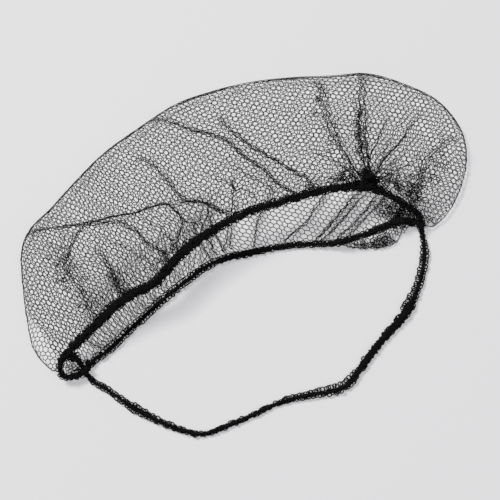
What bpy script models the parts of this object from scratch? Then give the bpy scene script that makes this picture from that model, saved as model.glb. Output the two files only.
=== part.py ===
"""Net beard cover lying with its mouth to the front: a two-layer net bag, its elastic rim and its strap.

Metres, +Z up. The two ends of the rim lie on the X axis, the back of the bag is towards +Y and the
strap lies in front, towards -Y. At the end the whole model is moved so that the middle of its
footprint is the origin.
"""

import bmesh
import bpy
import numpy as np
from mathutils import Vector

# Driving dimensions of the bag
RIM_SPAN = 0.219
LEFT_BULGE = 0.0225
RIGHT_BULGE = 0.0495
BAG_DEPTH = 0.131
BAG_HEIGHT = 0.027
NET_WALL = 0.001
BACK_FOLD_RADIUS = 0.0036
BACK_FOLD_NARROWING = 0.0108
ROLL_REACH = 0.0095
ROLL_FRONT = 0.0050
ROLL_LIFT = 0.0055
LIFT_LEAD = 1.8
ROLL_TURN = np.radians(120)
EDGE_RISE = 0.0020
FLOOR_SPREAD = 1.5
CROWN_FULLNESS = 0.85

# Bows of the two edges of the mouth, measured from the line between the rim's ends
UPPER_BOW = 0.045
LOWER_BOW = 0.030

# Elastic rim, strap and end gathers
UPPER_RIM_WIDTH = 0.0050
UPPER_RIM_THICKNESS = 0.0028
LOWER_RIM_WIDTH = 0.0044
LOWER_RIM_THICKNESS = 0.0026
END_NARROWING = 0.25
END_TAPER = 0.04
STRAP_DROP = 0.0697
STRAP_WIDTH = 0.0050
STRAP_THICKNESS = 0.0030
GATHER_RADIUS = 0.0035
GATHER_HEIGHT = 0.0050

# Clearances between pieces that are sewn together
SEAM_GAP = 0.0003
GATHER_GAP = 0.0005

# Folds of the net, and the small gathers where it joins the rim
FOLD_HEIGHT = 0.0042
FOLD_WIDTH = 0.0046
FOLD_LIMIT = 1.3
PUCKER_HEIGHT = 0.0007
PUCKER_REACH = 0.032
PUCKERS = 16

# Mesh steps
STATION_STEPS = 4 * PUCKERS
TOP_STEPS = 18
BACK_STEPS = 3
FLOOR_STEPS = 7
ROLL_STEPS = 4
RIM_STEPS = 54
STRAP_STEPS = 60
BAND_SIDES = 8
GATHER_TURNS = 10
GATHER_RINGS = 5
PATH_SAMPLES = 3000

# Sections of the bag from the rim's left end to its right end.
# upper_x, lower_x: shares of RIM_SPAN from the left gather. upper_y: share of UPPER_BOW.
# upper_z, crown: shares of BAG_HEIGHT. lower_y: share of LOWER_BOW.
# back_x: share of the bag's whole length from its left side. back_y: share of BAG_DEPTH.
# roll: how far the bottom layer bulges out in front of its rim, a share of ROLL_REACH.
SECTIONS = (
    # upper_x, upper_y, upper_z, lower_x, lower_y, back_x, back_y, crown, roll
    (-0.058, 0.10, 0.20, 0.020, 0.08, 0.018, 0.06, 0.22, 0.0),
    (-0.055, 0.16, 0.24, 0.029, 0.11, 0.006, 0.12, 0.30, 0.0),
    (-0.042, 0.23, 0.28, 0.040, 0.14, 0.000, 0.20, 0.40, 0.0),
    (-0.016, 0.29, 0.34, 0.061, 0.17, 0.007, 0.29, 0.50, 0.0),
    (0.022, 0.36, 0.41, 0.099, 0.25, 0.022, 0.43, 0.62, 0.0),
    (0.064, 0.43, 0.48, 0.142, 0.38, 0.050, 0.62, 0.74, 0.0),
    (0.107, 0.50, 0.56, 0.185, 0.49, 0.086, 0.71, 0.82, 0.0),
    (0.150, 0.57, 0.63, 0.223, 0.59, 0.138, 0.76, 0.86, 0.0),
    (0.198, 0.61, 0.69, 0.262, 0.69, 0.202, 0.83, 0.90, 0.0),
    (0.255, 0.61, 0.74, 0.306, 0.79, 0.284, 0.91, 0.94, 0.0),
    (0.308, 0.71, 0.78, 0.353, 0.88, 0.373, 0.96, 0.97, 0.0),
    (0.373, 0.85, 0.81, 0.406, 0.97, 0.467, 1.00, 1.00, 0.0),
    (0.465, 0.95, 0.82, 0.468, 0.98, 0.552, 0.99, 1.00, 0.0),
    (0.567, 0.99, 0.82, 0.534, 0.88, 0.634, 0.96, 0.98, 0.0),
    (0.664, 0.94, 0.81, 0.608, 0.77, 0.721, 0.90, 0.98, 0.0),
    (0.752, 0.89, 0.80, 0.683, 0.60, 0.802, 0.83, 0.98, 0.0),
    (0.832, 0.80, 0.77, 0.749, 0.39, 0.874, 0.77, 0.95, 0.10),
    (0.903, 0.67, 0.72, 0.812, 0.27, 0.936, 0.65, 0.88, 0.55),
    (0.939, 0.49, 0.62, 0.867, 0.24, 0.984, 0.51, 0.78, 0.90),
    (0.966, 0.35, 0.49, 0.911, 0.23, 1.000, 0.34, 0.66, 1.00),
    (0.984, 0.26, 0.38, 0.938, 0.22, 0.982, 0.20, 0.52, 0.80),
    (0.994, 0.20, 0.32, 0.956, 0.20, 0.940, 0.08, 0.42, 0.50),
    (1.000, 0.16, 0.28, 0.968, 0.17, 0.893, 0.00, 0.34, 0.25),
    (1.004, 0.12, 0.25, 0.978, 0.12, 0.857, -0.03, 0.27, 0.10),
)

# Hook of the upper rim round its left end: x share of RIM_SPAN, y share of UPPER_BOW, z share of height
HOOK = (
    (-0.027, -0.02, 0.16),
    (-0.051, 0.01, 0.18),
)

# Swellings of the upper rim: where as a share of the way along the sections, growth as a share of
# UPPER_RIM_WIDTH, length as a share of the way. The first is the clump where the net gathers most.
UPPER_SWELLINGS = (
    # along, growth, length
    (0.740, 0.65, 0.025),
    (0.320, 0.12, 0.040),
    (0.520, 0.08, 0.050),
    (0.000, -0.18, 0.120),
    (1.000, -0.25, 0.070),
)

# Route of the strap from the left gather to the right one.
# x: share of RIM_SPAN, y: share of STRAP_DROP in front of the rim's ends, width: share of STRAP_WIDTH.
STRAP_ROUTE = (
    # x, y, width
    (0.005, 0.07, 0.65),
    (0.017, 0.14, 0.75),
    (0.038, 0.23, 0.95),
    (0.084, 0.46, 1.20),
    (0.144, 0.69, 0.90),
    (0.206, 0.86, 0.75),
    (0.248, 0.90, 0.70),
    (0.345, 0.91, 0.70),
    (0.449, 0.91, 0.65),
    (0.536, 0.96, 0.85),
    (0.580, 0.99, 1.00),
    (0.621, 1.00, 1.05),
    (0.661, 0.95, 0.95),
    (0.744, 0.81, 0.95),
    (0.791, 0.74, 1.10),
    (0.834, 0.68, 1.45),
    (0.872, 0.60, 1.55),
    (0.908, 0.51, 1.00),
    (0.939, 0.41, 0.85),
    (0.961, 0.32, 0.90),
    (0.981, 0.21, 0.95),
    (0.993, 0.10, 0.75),
)

# Folds of the top layer. Each runs from one place to another, given as the share along the rim and
# the share of the way from the mouth's edge to the back. height is a share of FOLD_HEIGHT, below
# zero for a valley, and width a share of FOLD_WIDTH.
TOP_FOLDS = (
    # from_along, from_across, to_along, to_across, height, width
    (0.737, 0.06, 0.684, 0.90, 1.00, 1.00),
    (0.756, 0.12, 0.716, 0.85, 0.80, 0.90),
    (0.744, 0.40, 0.700, 0.85, -0.50, 0.70),
    (0.708, 0.10, 0.639, 0.82, 0.90, 1.00),
    (0.722, 0.25, 0.729, 0.60, 0.60, 0.80),
    (0.751, 0.18, 0.777, 0.85, 0.90, 1.10),
    (0.823, 0.25, 0.828, 0.80, 0.70, 1.00),
    (0.851, 0.15, 0.853, 0.50, 0.60, 0.80),
    (0.536, 0.62, 0.564, 0.36, 0.80, 0.90),
    (0.579, 0.52, 0.650, 0.08, 0.80, 0.90),
    (0.444, 0.76, 0.526, 0.14, 0.90, 1.00),
    (0.545, 0.28, 0.543, 0.08, 0.50, 0.70),
    (0.273, 0.86, 0.488, 0.26, 1.10, 1.10),
    (0.282, 0.52, 0.341, 0.60, 0.80, 1.00),
    (0.341, 0.60, 0.430, 0.15, 0.80, 1.00),
    (0.469, 0.30, 0.464, 0.08, 0.60, 0.80),
    (0.253, 0.62, 0.225, 0.12, -1.10, 1.40),
    (0.330, 0.42, 0.320, 0.08, 0.60, 0.80),
    (0.297, 0.36, 0.306, 0.08, 0.60, 0.80),
)

# Folds of the bottom layer, raised from the surface that it lies on
BOTTOM_FOLDS = (
    # from_along, from_across, to_along, to_across, height, width
    (0.579, 0.05, 0.585, 0.24, 0.60, 0.80),
    (0.631, 0.06, 0.660, 0.30, 0.80, 0.90),
    (0.665, 0.05, 0.719, 0.28, 0.80, 0.90),
    (0.698, 0.06, 0.735, 0.22, 0.60, 0.80),
)

BAG_LENGTH = LEFT_BULGE + RIM_SPAN + RIGHT_BULGE
BAND_CORNER = 1 / np.cos(np.pi / BAND_SIDES)
LEFT_END = np.array((-RIM_SPAN / 2, 0.0, GATHER_HEIGHT / 2 + NET_WALL + SEAM_GAP))
RIGHT_END = np.array((RIM_SPAN / 2, 0.0, GATHER_HEIGHT / 2 + NET_WALL + SEAM_GAP))


def smooth(rows, share):
    """Reads a table at shares of its length, on a smooth curve that passes through every row."""
    rows = np.asarray(rows, dtype=float)
    before = 2 * rows[0] - rows[1]
    after = 2 * rows[-1] - rows[-2]
    padded = np.vstack([before, rows, after])
    place = np.clip(share, 0.0, 1.0) * (len(rows) - 1)
    row = np.minimum(place.astype(int), len(rows) - 2)
    f = (place - row)[:, None]
    a, b, c, d = padded[row], padded[row + 1], padded[row + 2], padded[row + 3]
    return 0.5 * (2 * b + (c - a) * f + (2 * a - 5 * b + 4 * c - d) * f**2 + (3 * b - a - 3 * c + d) * f**3)


def sections():
    """The sections in metres: the rim's two edges, the back outline and the crown; the roll as shares."""
    upper_x, upper_y, upper_z, lower_x, lower_y, back_x, back_y, crown, roll = np.asarray(SECTIONS).T
    start = LEFT_END[0]
    upper = np.column_stack([start + upper_x * RIM_SPAN, upper_y * UPPER_BOW, upper_z * BAG_HEIGHT])
    lifted = np.clip(roll * LIFT_LEAD, 0.0, 1.0)
    lower_z = LOWER_RIM_THICKNESS / 2 + ROLL_LIFT * np.sin(np.pi / 2 * lifted)
    lower = np.column_stack([start + lower_x * RIM_SPAN, lower_y * LOWER_BOW, lower_z])
    back = np.column_stack([start - LEFT_BULGE + back_x * BAG_LENGTH, back_y * BAG_DEPTH])
    return upper, lower, back, crown[:, None] * BAG_HEIGHT, roll[:, None]


def band_rows(line, width_shares, width, thickness):
    """Rows of a band: its centre line, its width and its thickness, which grows as the width's root."""
    return np.column_stack([line, width * width_shares, thickness * np.sqrt(width_shares)])


def upper_rows():
    """Rows of the upper rim: left gather, hook, sections, right gather."""
    upper = sections()[0]
    hook_x, hook_y, hook_z = np.asarray(HOOK).T
    hook = np.column_stack([LEFT_END[0] + hook_x * RIM_SPAN, hook_y * UPPER_BOW, hook_z * BAG_HEIGHT])
    line = np.vstack([LEFT_END, hook, upper, RIGHT_END])
    before = 1 + len(HOOK)
    share = np.clip((np.arange(len(line)) - before) / (len(upper) - 1), 0.0, 1.0)
    width_shares = np.ones(len(line))
    for along, growth, length in UPPER_SWELLINGS:
        width_shares += growth * np.exp(-(((share - along) / length) ** 2))
    return band_rows(line, width_shares, UPPER_RIM_WIDTH, UPPER_RIM_THICKNESS)


def lower_rows():
    """Rows of the lower rim: left gather, sections, right gather. It narrows to its sewn ends."""
    line = np.vstack([LEFT_END, sections()[1], RIGHT_END])
    share = np.linspace(0.0, 1.0, len(line))
    width_shares = 1 - END_NARROWING * np.exp(-np.minimum(share, 1 - share) / END_TAPER)
    return band_rows(line, width_shares, LOWER_RIM_WIDTH, LOWER_RIM_THICKNESS)


def strap_rows():
    """Rows of the strap, which lies on the surface between its two sewn ends."""
    x, y, shares = np.asarray(STRAP_ROUTE).T
    z = STRAP_THICKNESS * np.sqrt(shares) / 2
    line = np.column_stack([LEFT_END[0] + x * RIM_SPAN, -y * STRAP_DROP, z])
    shares = np.concatenate([shares[:1], shares, shares[-1:]])
    return band_rows(np.vstack([LEFT_END, line, RIGHT_END]), shares, STRAP_WIDTH, STRAP_THICKNESS)


def read_sections(rows, rows_before, share):
    """Reads a rim's rows at shares of the bag's sections, which start after rows_before."""
    return smooth(rows, (rows_before + share * (len(SECTIONS) - 1)) / (len(rows) - 1))


def backwards_from(line):
    """Unit directions in plan across a line, towards the back of the bag."""
    along = np.gradient(line[:, :2], axis=0)
    along /= np.linalg.norm(along, axis=1, keepdims=True)
    return np.column_stack([-along[:, 1], along[:, 0]])


def seam_edge(rim, turn, slant):
    """Where the net meets a rim, on its back side, or turned from there towards its underside.

    A net that arrives at a slant, from 0 to 1, stands off by up to half its wall more.
    """
    clear = SEAM_GAP + slant * NET_WALL / 2
    level = (rim[:, 3:4] / 2 * BAND_CORNER + clear) * np.cos(turn)
    drop = (rim[:, 4:5] / 2 * BAND_CORNER + clear) * np.sin(turn)
    return np.column_stack([rim[:, :2] + backwards_from(rim) * level, rim[:, 2:3] - drop])


def upper_seam(share, back):
    """Where the top layer starts, at the upper rim."""
    rim = read_sections(upper_rows(), 1 + len(HOOK), share)
    reach = np.linalg.norm(back - rim[:, :2], axis=1)[:, None]
    return seam_edge(rim, 0.0, np.clip(rim[:, 2:3] / reach, 0.0, 1.0))


def distance_to_line(points, start, end):
    """Distance in plan of every point from a straight line between two places."""
    run = end - start
    share = np.clip(((points - start) @ run) / (run @ run), 0.0, 1.0)
    nearest = start + share[..., None] * run
    return np.linalg.norm(points - nearest, axis=-1)


def place_in_plan(edge, back, along, across):
    """A place in plan from its share along the rim and its share from the mouth's edge to the back."""
    where = np.array([along * (len(edge) - 1)])
    index = np.arange(len(edge))
    start = np.array([np.interp(where, index, edge[:, i])[0] for i in range(2)])
    end = np.array([np.interp(where, index, back[:, i])[0] for i in range(2)])
    return start + (end - start) * across


def fold_lift(plan, edge, back, folds):
    """Height that the folds add: each is a ridge whose section is a bell curve across its line.

    Where several folds meet, their sum levels off at FOLD_LIMIT times FOLD_HEIGHT.
    """
    total = np.zeros(plan.shape[:2])
    for from_along, from_across, to_along, to_across, height, width in folds:
        start = place_in_plan(edge, back, from_along, from_across)
        end = place_in_plan(edge, back, to_along, to_across)
        distance = distance_to_line(plan, start, end)
        total += height * np.exp(-((distance / (width * FOLD_WIDTH)) ** 2))
    return FOLD_HEIGHT * FOLD_LIMIT * np.tanh(total / FOLD_LIMIT)


def pucker_fade(distance):
    """Share of a pucker's height at a distance from the rim: it fades on a parabola to nothing."""
    return (1 - np.clip(distance / PUCKER_REACH, 0.0, 1.0)) ** 2


def top_layer(share):
    """The middle of the top layer's wall: it leaves the upper rim, rises to the crown and drops to the
    back on a quarter of an oval, with the folds and the puckers at the rim on top."""
    back = smooth(sections()[2], share)
    edge = upper_seam(share, back)
    crown = smooth(sections()[3], share)
    forward = edge[:, :2] - back
    depth = np.linalg.norm(forward, axis=1)[:, None]
    radius = back_radius(depth)
    turn = np.linspace(0.0, np.pi / 2, TOP_STEPS + 1)[None, :]
    across = np.sin(turn)
    plan = edge[:, None, :2] - forward[:, None, :] * across[..., None]
    back_z = NET_WALL / 2 + radius
    rise = np.sin(np.minimum(2 * turn, np.pi / 2)) ** 2
    lip_z = edge[:, 2:3]
    z = back_z + (lip_z + (crown - lip_z) * rise - back_z) * np.cos(turn) ** CROWN_FULLNESS
    calm = np.clip(depth / BAG_HEIGHT, 0.0, 1.0) * np.cos(turn)
    pucker = np.sin(2 * np.pi * PUCKERS * share)[:, None] * pucker_fade(across * depth)
    z += (fold_lift(plan, edge, back, TOP_FOLDS) + PUCKER_HEIGHT * pucker) * calm
    return np.dstack([plan, z])


def back_radius(depth):
    """Radius of the fold round the back, which gets small where the bag narrows to its ends."""
    return BACK_FOLD_RADIUS * depth / (depth + BACK_FOLD_NARROWING)


def bottom_layer(share):
    """The middle of the bottom layer's wall, without the back line that the top layer ends on.

    It turns under on a quarter circle and runs flat to the lower rim. Where the section has a roll,
    it runs on below the raised rim, bulges out in front and turns up to the rim's underside.
    """
    rim = read_sections(lower_rows(), 1, share)
    roll = smooth(sections()[4], share)
    back = smooth(sections()[2], share)
    depth = np.linalg.norm(upper_seam(share, back)[:, :2] - back, axis=1)[:, None]
    backwards = backwards_from(rim)
    level = rim[:, 3:4] / 2 * BAND_CORNER + SEAM_GAP + EDGE_RISE
    front = rim[:, :2] + backwards * (level * (1 - roll) - ROLL_REACH * roll)
    forward = front - back
    run = np.linalg.norm(forward, axis=1)[:, None]
    radius = back_radius(depth)

    under = np.linspace(0.0, np.pi / 2, BACK_STEPS + 1)[None, 1:]
    under_share = radius / run * (1 - np.cos(under))
    under_z = NET_WALL / 2 + radius * (1 - np.sin(under))
    spread = 1 - (1 - np.linspace(0.0, 1.0, FLOOR_STEPS + 1)[None, 1:]) ** FLOOR_SPREAD
    floor_share = radius / run + (1 - radius / run) * spread
    plan = back[:, None, :] + forward[:, None, :] * np.hstack([under_share, floor_share])[..., None]
    lift = fold_lift(plan[:, BACK_STEPS:], front, back, BOTTOM_FOLDS)
    pucker = 1 + np.sin(2 * np.pi * PUCKERS * share)[:, None]
    lift += PUCKER_HEIGHT / 2 * pucker * pucker_fade((1 - floor_share) * run)
    flat = np.dstack([plan, np.hstack([under_z, NET_WALL / 2 + lift])])

    turn = ROLL_TURN * roll
    edge = seam_edge(rim, turn, np.clip(roll * LIFT_LEAD * 2, 0.0, 1.0))
    outwards = np.column_stack([backwards * np.cos(turn), -np.sin(turn)])
    start = flat[:, -1]
    ahead = EDGE_RISE / 2 + (ROLL_FRONT - EDGE_RISE / 2) * roll**2
    leave = start - np.column_stack([backwards * ahead, np.zeros(len(start))])
    arrive = edge + outwards * (EDGE_RISE / 2) * (1 + roll)
    f = np.linspace(0.0, 1.0, ROLL_STEPS + 1)[None, 1:, None]
    start, leave, arrive, edge = (point[:, None, :] for point in (start, leave, arrive, edge))
    rise = (1 - f) ** 3 * start + 3 * f * (1 - f) ** 2 * leave + 3 * f**2 * (1 - f) * arrive + f**3 * edge
    return np.concatenate([flat, rise], axis=1)


def surface_normals(grid):
    """Unit normals of a grid of points, out of the bag."""
    along = np.gradient(grid, axis=0)
    across = np.gradient(grid, axis=1)
    normal = np.cross(along, across)
    return normal / np.linalg.norm(normal, axis=2, keepdims=True)


def strip(first, second):
    """Quads between two equal rows of vertex numbers."""
    return np.column_stack([first[:-1], first[1:], second[1:], second[:-1]]).tolist()


def grid_faces(numbers):
    """Quads of a grid of vertex numbers."""
    corners = (numbers[:-1, :-1], numbers[1:, :-1], numbers[1:, 1:], numbers[:-1, 1:])
    return np.stack([corner.ravel() for corner in corners], axis=1).tolist()


def add_object(name, vertices, faces, material):
    """One closed, outward-facing, smooth-shaded object from its points and faces."""
    mesh = bpy.data.meshes.new(name)
    mesh.from_pydata(np.asarray(vertices).tolist(), [], faces)
    shape = bmesh.new()
    shape.from_mesh(mesh)
    bmesh.ops.recalc_face_normals(shape, faces=shape.faces)
    bmesh.ops.triangulate(shape, faces=shape.faces)
    shape.to_mesh(mesh)
    shape.free()
    mesh.shade_smooth()
    mesh.materials.append(material)
    body = bpy.data.objects.new(name, mesh)
    bpy.context.scene.collection.objects.link(body)
    return body


def make_bag(material):
    """The net bag: the middle of its wall, half a wall out and half a wall in, closed along its edges."""
    share = np.linspace(0.0, 1.0, STATION_STEPS + 1)
    middle = np.concatenate([top_layer(share), bottom_layer(share)], axis=1)
    normal = surface_normals(middle)
    outer = middle + normal * NET_WALL / 2
    inner = middle - normal * NET_WALL / 2
    rows, columns = middle.shape[:2]
    outside = np.arange(rows * columns).reshape(rows, columns)
    inside = outside + rows * columns
    faces = grid_faces(outside) + grid_faces(inside[::-1])
    faces += strip(outside[:, 0], inside[:, 0])
    faces += strip(inside[:, -1], outside[:, -1])
    faces += strip(inside[0], outside[0])
    faces += strip(outside[-1], inside[-1])
    vertices = np.concatenate([outer.reshape(-1, 3), inner.reshape(-1, 3)])
    return add_object("net_pouch", vertices, faces, material)


def between_gathers(rows):
    """The stretch of a band's line between the faces of the two end gathers."""
    line = smooth(rows, np.linspace(0.0, 1.0, PATH_SAMPLES))
    clear = GATHER_RADIUS + GATHER_GAP
    from_left = np.linalg.norm(line[:, :3] - LEFT_END, axis=1)
    from_right = np.linalg.norm(line[:, :3] - RIGHT_END, axis=1)
    middle = len(line) // 2
    first = np.nonzero(from_left[:middle] < clear)[0].max() + 1
    last = middle + np.nonzero(from_right[middle:] < clear)[0].min() - 1
    return line[first : last + 1]


def evenly(line, steps):
    """The same line read at even distances along it."""
    lengths = np.linalg.norm(np.diff(line[:, :3], axis=0), axis=1)
    travelled = np.concatenate([[0.0], np.cumsum(lengths)])
    wanted = np.linspace(0.0, travelled[-1], steps + 1)
    return np.column_stack([np.interp(wanted, travelled, line[:, i]) for i in range(line.shape[1])])


def add_band(name, rows, steps, material):
    """A band of eight-sided oval section: each ring lies across the line, level from side to side.

    No part of it dips below the surface that the bag lies on.
    """
    line = evenly(between_gathers(rows), steps)
    centre = line[:, :3].copy()
    centre[:, 2] = np.maximum(centre[:, 2], line[:, 4] / 2)
    along = np.gradient(centre, axis=0)
    along /= np.linalg.norm(along, axis=1, keepdims=True)
    side = np.column_stack([-along[:, 1], along[:, 0], np.zeros(len(along))])
    side /= np.linalg.norm(side, axis=1, keepdims=True)
    up = np.cross(along, side)
    turn = (np.arange(BAND_SIDES) + 0.5) * 2 * np.pi / BAND_SIDES
    across = np.cos(turn)[None, :, None] * (side * line[:, 3:4] / 2 * BAND_CORNER)[:, None, :]
    rise = np.sin(turn)[None, :, None] * (up * line[:, 4:5] / 2 * BAND_CORNER)[:, None, :]
    rings = centre[:, None, :] + across + rise
    numbers = np.arange(len(line) * BAND_SIDES).reshape(len(line), BAND_SIDES)
    closed = np.column_stack([numbers, numbers[:, 0]])
    faces = grid_faces(closed) + [numbers[0].tolist()] + [numbers[-1][::-1].tolist()]
    return add_object(name, rings.reshape(-1, 3), faces, material)


def make_gather(name, centre, material):
    """A small sewn knot of net: a flattened ball."""
    shape = bmesh.new()
    bmesh.ops.create_uvsphere(shape, u_segments=GATHER_TURNS, v_segments=GATHER_RINGS, radius=1.0)
    size = np.array((GATHER_RADIUS, GATHER_RADIUS, GATHER_HEIGHT / 2))
    vertices = [np.array(vertex.co) * size + centre for vertex in shape.verts]
    faces = [[vertex.index for vertex in face.verts] for face in shape.faces]
    shape.free()
    return add_object(name, vertices, faces, material)


def cloth_material(name, colour, roughness):
    """A dull black cloth finish."""
    material = bpy.data.materials.new(name)
    material.use_nodes = True
    shader = material.node_tree.nodes["Principled BSDF"]
    shader.inputs["Base Color"].default_value = (*colour, 1.0)
    shader.inputs["Roughness"].default_value = roughness
    shader.inputs["Metallic"].default_value = 0.0
    material.diffuse_color = (*colour, 1.0)
    return material


def put_on_origin(bodies):
    """Moves every mesh so that the middle of the model's footprint is the origin."""
    corners = np.array([vertex.co for body in bodies for vertex in body.data.vertices])
    low, high = corners.min(axis=0), corners.max(axis=0)
    shift = Vector(((low[0] + high[0]) / 2, (low[1] + high[1]) / 2, low[2]))
    for body in bodies:
        for vertex in body.data.vertices:
            vertex.co = vertex.co - shift
        body.data.update()


def build():
    """Clears the scene and models the beard cover."""
    for old in list(bpy.data.objects):
        bpy.data.objects.remove(old, do_unlink=True)
    net = cloth_material("black_net", (0.016, 0.016, 0.018), 0.55)
    elastic = cloth_material("black_elastic", (0.010, 0.010, 0.011), 0.75)
    bodies = [
        make_bag(net),
        add_band("upper_rim", upper_rows(), RIM_STEPS, elastic),
        add_band("lower_rim", lower_rows(), RIM_STEPS, elastic),
        add_band("head_strap", strap_rows(), STRAP_STEPS, elastic),
        make_gather("left_end_gather", LEFT_END, elastic),
        make_gather("right_end_gather", RIGHT_END, elastic),
    ]
    put_on_origin(bodies)


build()
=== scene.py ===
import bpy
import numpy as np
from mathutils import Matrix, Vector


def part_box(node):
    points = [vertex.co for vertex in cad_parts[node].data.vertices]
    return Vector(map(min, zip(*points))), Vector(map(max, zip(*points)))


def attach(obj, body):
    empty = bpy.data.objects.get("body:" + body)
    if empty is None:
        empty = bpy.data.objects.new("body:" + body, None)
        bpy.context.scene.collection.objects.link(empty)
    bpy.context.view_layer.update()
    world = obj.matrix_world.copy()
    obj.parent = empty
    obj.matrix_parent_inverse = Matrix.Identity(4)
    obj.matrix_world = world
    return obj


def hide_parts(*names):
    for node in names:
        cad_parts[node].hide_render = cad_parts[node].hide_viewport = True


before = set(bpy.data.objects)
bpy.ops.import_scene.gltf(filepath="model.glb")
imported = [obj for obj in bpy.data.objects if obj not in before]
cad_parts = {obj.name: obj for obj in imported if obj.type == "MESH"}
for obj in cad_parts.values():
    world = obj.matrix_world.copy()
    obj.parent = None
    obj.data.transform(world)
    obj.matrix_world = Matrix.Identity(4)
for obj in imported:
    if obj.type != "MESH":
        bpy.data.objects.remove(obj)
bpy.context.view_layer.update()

# Looks of a black net beard cover that lies open on a pale table. Metres throughout.
# The net is made strand by strand: a honeycomb is laid out flat, as cut, gathered onto the
# sections of the bag and given its folds. The rims, the strap and the two end gathers are yarn.


def middle_of(node):
    """Middle of a solid's box."""
    low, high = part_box(node)
    return (np.array(low) + np.array(high)) / 2


LEFT_END = middle_of("left_end_gather")
RIGHT_END = middle_of("right_end_gather")
RIM_SPAN = RIGHT_END[0] - LEFT_END[0]

# Sizes of the bag, as the solids have them
LEFT_BULGE = 0.0225
RIGHT_BULGE = 0.0495
BAG_LENGTH = LEFT_BULGE + RIM_SPAN + RIGHT_BULGE
BAG_DEPTH = 0.131
BAG_HEIGHT = 0.027
BACK_FOLD_RADIUS = 0.0036
BACK_FOLD_NARROWING = 0.0108
CROWN_FULLNESS = 0.85
ROLL_REACH = 0.0095
ROLL_FRONT = 0.0050
ROLL_LIFT = 0.0055
LIFT_LEAD = 1.8
ROLL_TURN = np.radians(120)
ROLL_SEEN = (0.710, 0.955)
UPPER_BOW = 0.045
LOWER_BOW = 0.030

# Elastic rims, strap and end gathers
UPPER_RIM_WIDTH = 0.0050
UPPER_RIM_THICKNESS = 0.0028
LOWER_RIM_WIDTH = 0.0044
LOWER_RIM_THICKNESS = 0.0026
END_NARROWING = 0.25
END_TAPER = 0.04
STRAP_DROP = 0.0697
STRAP_WIDTH = 0.0050
STRAP_THICKNESS = 0.0030
GATHER_RADIUS = 0.0035
GATHER_HEIGHT = 0.0050
HOOK_CLOSED_AT = 0.128

# The net: spacing of its cells, its strands, and how high the middle of its strands lies
NET_PITCH = 0.0031
NET_TURN = np.radians(-2)
BOTTOM_NET_TURN = np.radians(-32)
STRAND_WIDTH = 0.00038
STRAND_THICKNESS = 0.00030
NET_LIE = 0.0003

# Its rows of cells run round a middle in front of the cover, at a radius of their own for each layer,
# and are true to size where they pass this place
NET_TRUE_PLACE = np.array((-0.030, 0.062))
TOP_NET_RADIUS = 0.262
BOTTOM_NET_RADIUS = 3.0
NET_MARGIN = 0.030

# How far the lattice of cells goes each way, as a share of its rectangle's two sides together
LATTICE_REACH = 0.8

# The bottom layer is gathered to its left, along this heading
GATHER_HEADING = np.radians(16)
GATHERS = (
    # from, over how long a step, how much narrower its cells are there, how much longer
    (0.024, 0.014, 0.20, 0.18),
    (-0.020, 0.012, 0.18, 0.08),
)

# How the net folds, gathers and strays
FOLD_HEIGHT = 0.0042
FOLD_WIDTH = 0.0050
FOLD_CALM = 0.028
FOLD_LIMIT = 1.3
FOLD_STRAND_RADIUS = 0.00018
PLEAT_SPACING = 0.0085
PLEAT_PULL = 0.45
PLEAT_HEIGHT = 0.0010
PLEAT_REACH = 0.018
STRAY = 0.0005
STRAY_WAVE = 0.034
WANDER_WAVES = 4
WANDER_LENGTHS = (0.7, 1.5)

# How far a place of the flat pattern may be from the sections and still be on the layer: within
# ON_SECTION lengths of a section's middle, or within ON_END_SECTION and END_CELLS beyond the first or last
ON_SECTION = 0.8
ON_END_SECTION = 0.7
END_CELLS = 1.2
NOT_BETWEEN = 9.0

# How folds fade out at the back and at the rim, as shares of their length, and how far from the rim they
# and the pleats raise the net in full
FOLD_FADE_BACK = 0.24
FOLD_FADE_RIM = 0.04
FOLD_RAISED_FROM = 0.003
PLEAT_RAISED_FROM = 0.004

# How far the beat of the pleats strays, as a share of their spacing, the length of its waves, and what
# one section along and the whole way to the back count for in that length
PLEAT_STRAY = 0.6
PLEAT_STRAY_WAVE = 0.04
PLEAT_STRAY_PLACE = np.array((0.0005, 0.02))

# Cells that are drawn shut: their area and their shortest side, as shares of the pitch. Round the open
# ones, how sharp a corner the strands' sides still follow, and how near the cell's middle they may come.
SHUT_AREA = 0.02
SHUT_SIDE = 0.001
SHARPEST_CORNER = 0.35
NEAREST_MIDDLE = 0.80

# The strands bunched in a fold: how far they stray and how much more at the far end, the length of their
# waves, where they start, how soon they are full and how thin they are before
BUNCH_STRAY = 0.00030
BUNCH_LOOSENS = 2.5
BUNCH_WAVES = (0.004, 0.013)
BUNCH_STARTS = (-0.10, 0.16)
BUNCH_FILLS_OVER = 0.35
BUNCH_THINNEST = 0.25

# The strands round the outline and along the front of the roll, and the outline's bow to the right gather
OUTLINE_RADIUS = 0.8 * FOLD_STRAND_RADIUS
OUTLINE_STRAY = 0.00014
OUTLINE_WAVES = (0.005, 0.020)
OUTLINE_BOW = np.array((0.0002, -0.0012, 0.0))
ROLL_STRAND_RADIUS = 0.9 * FOLD_STRAND_RADIUS
ROLL_STRAY = 0.00016
ROLL_WAVES = (0.004, 0.012)

# Crumpled cells: size, yarn radius and tilt
CRUMPLE_RING = (0.0027, 0.00020, 0.35)

# Mesh steps
SECTION_STEPS = 360
DEPTH_STEPS = 160
TURN_STEPS = 60
UNDER_STEPS = 8
LIFT_STEPS = 12
FOLD_STEPS = 20
BUNCH_STEPS = 140
CRUMPLE_STEPS = 100
OUTLINE_STEPS = 700
OUTLINE_SMOOTHING = 4
TO_GATHER_STEPS = 20
ROLL_STEPS = 160
BAND_SAMPLES = 1600
CORE_STEP = 0.0006
WINDING_STEPS = 12
YARN_SIDES = 4
COARSE_RING = (8, 3)

UP = np.array((0.0, 0.0, 1.0))
BACK_SIDE = 0.0
FRONT_SIDE = np.pi
LOWEST_POINT = 0.00004

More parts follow.
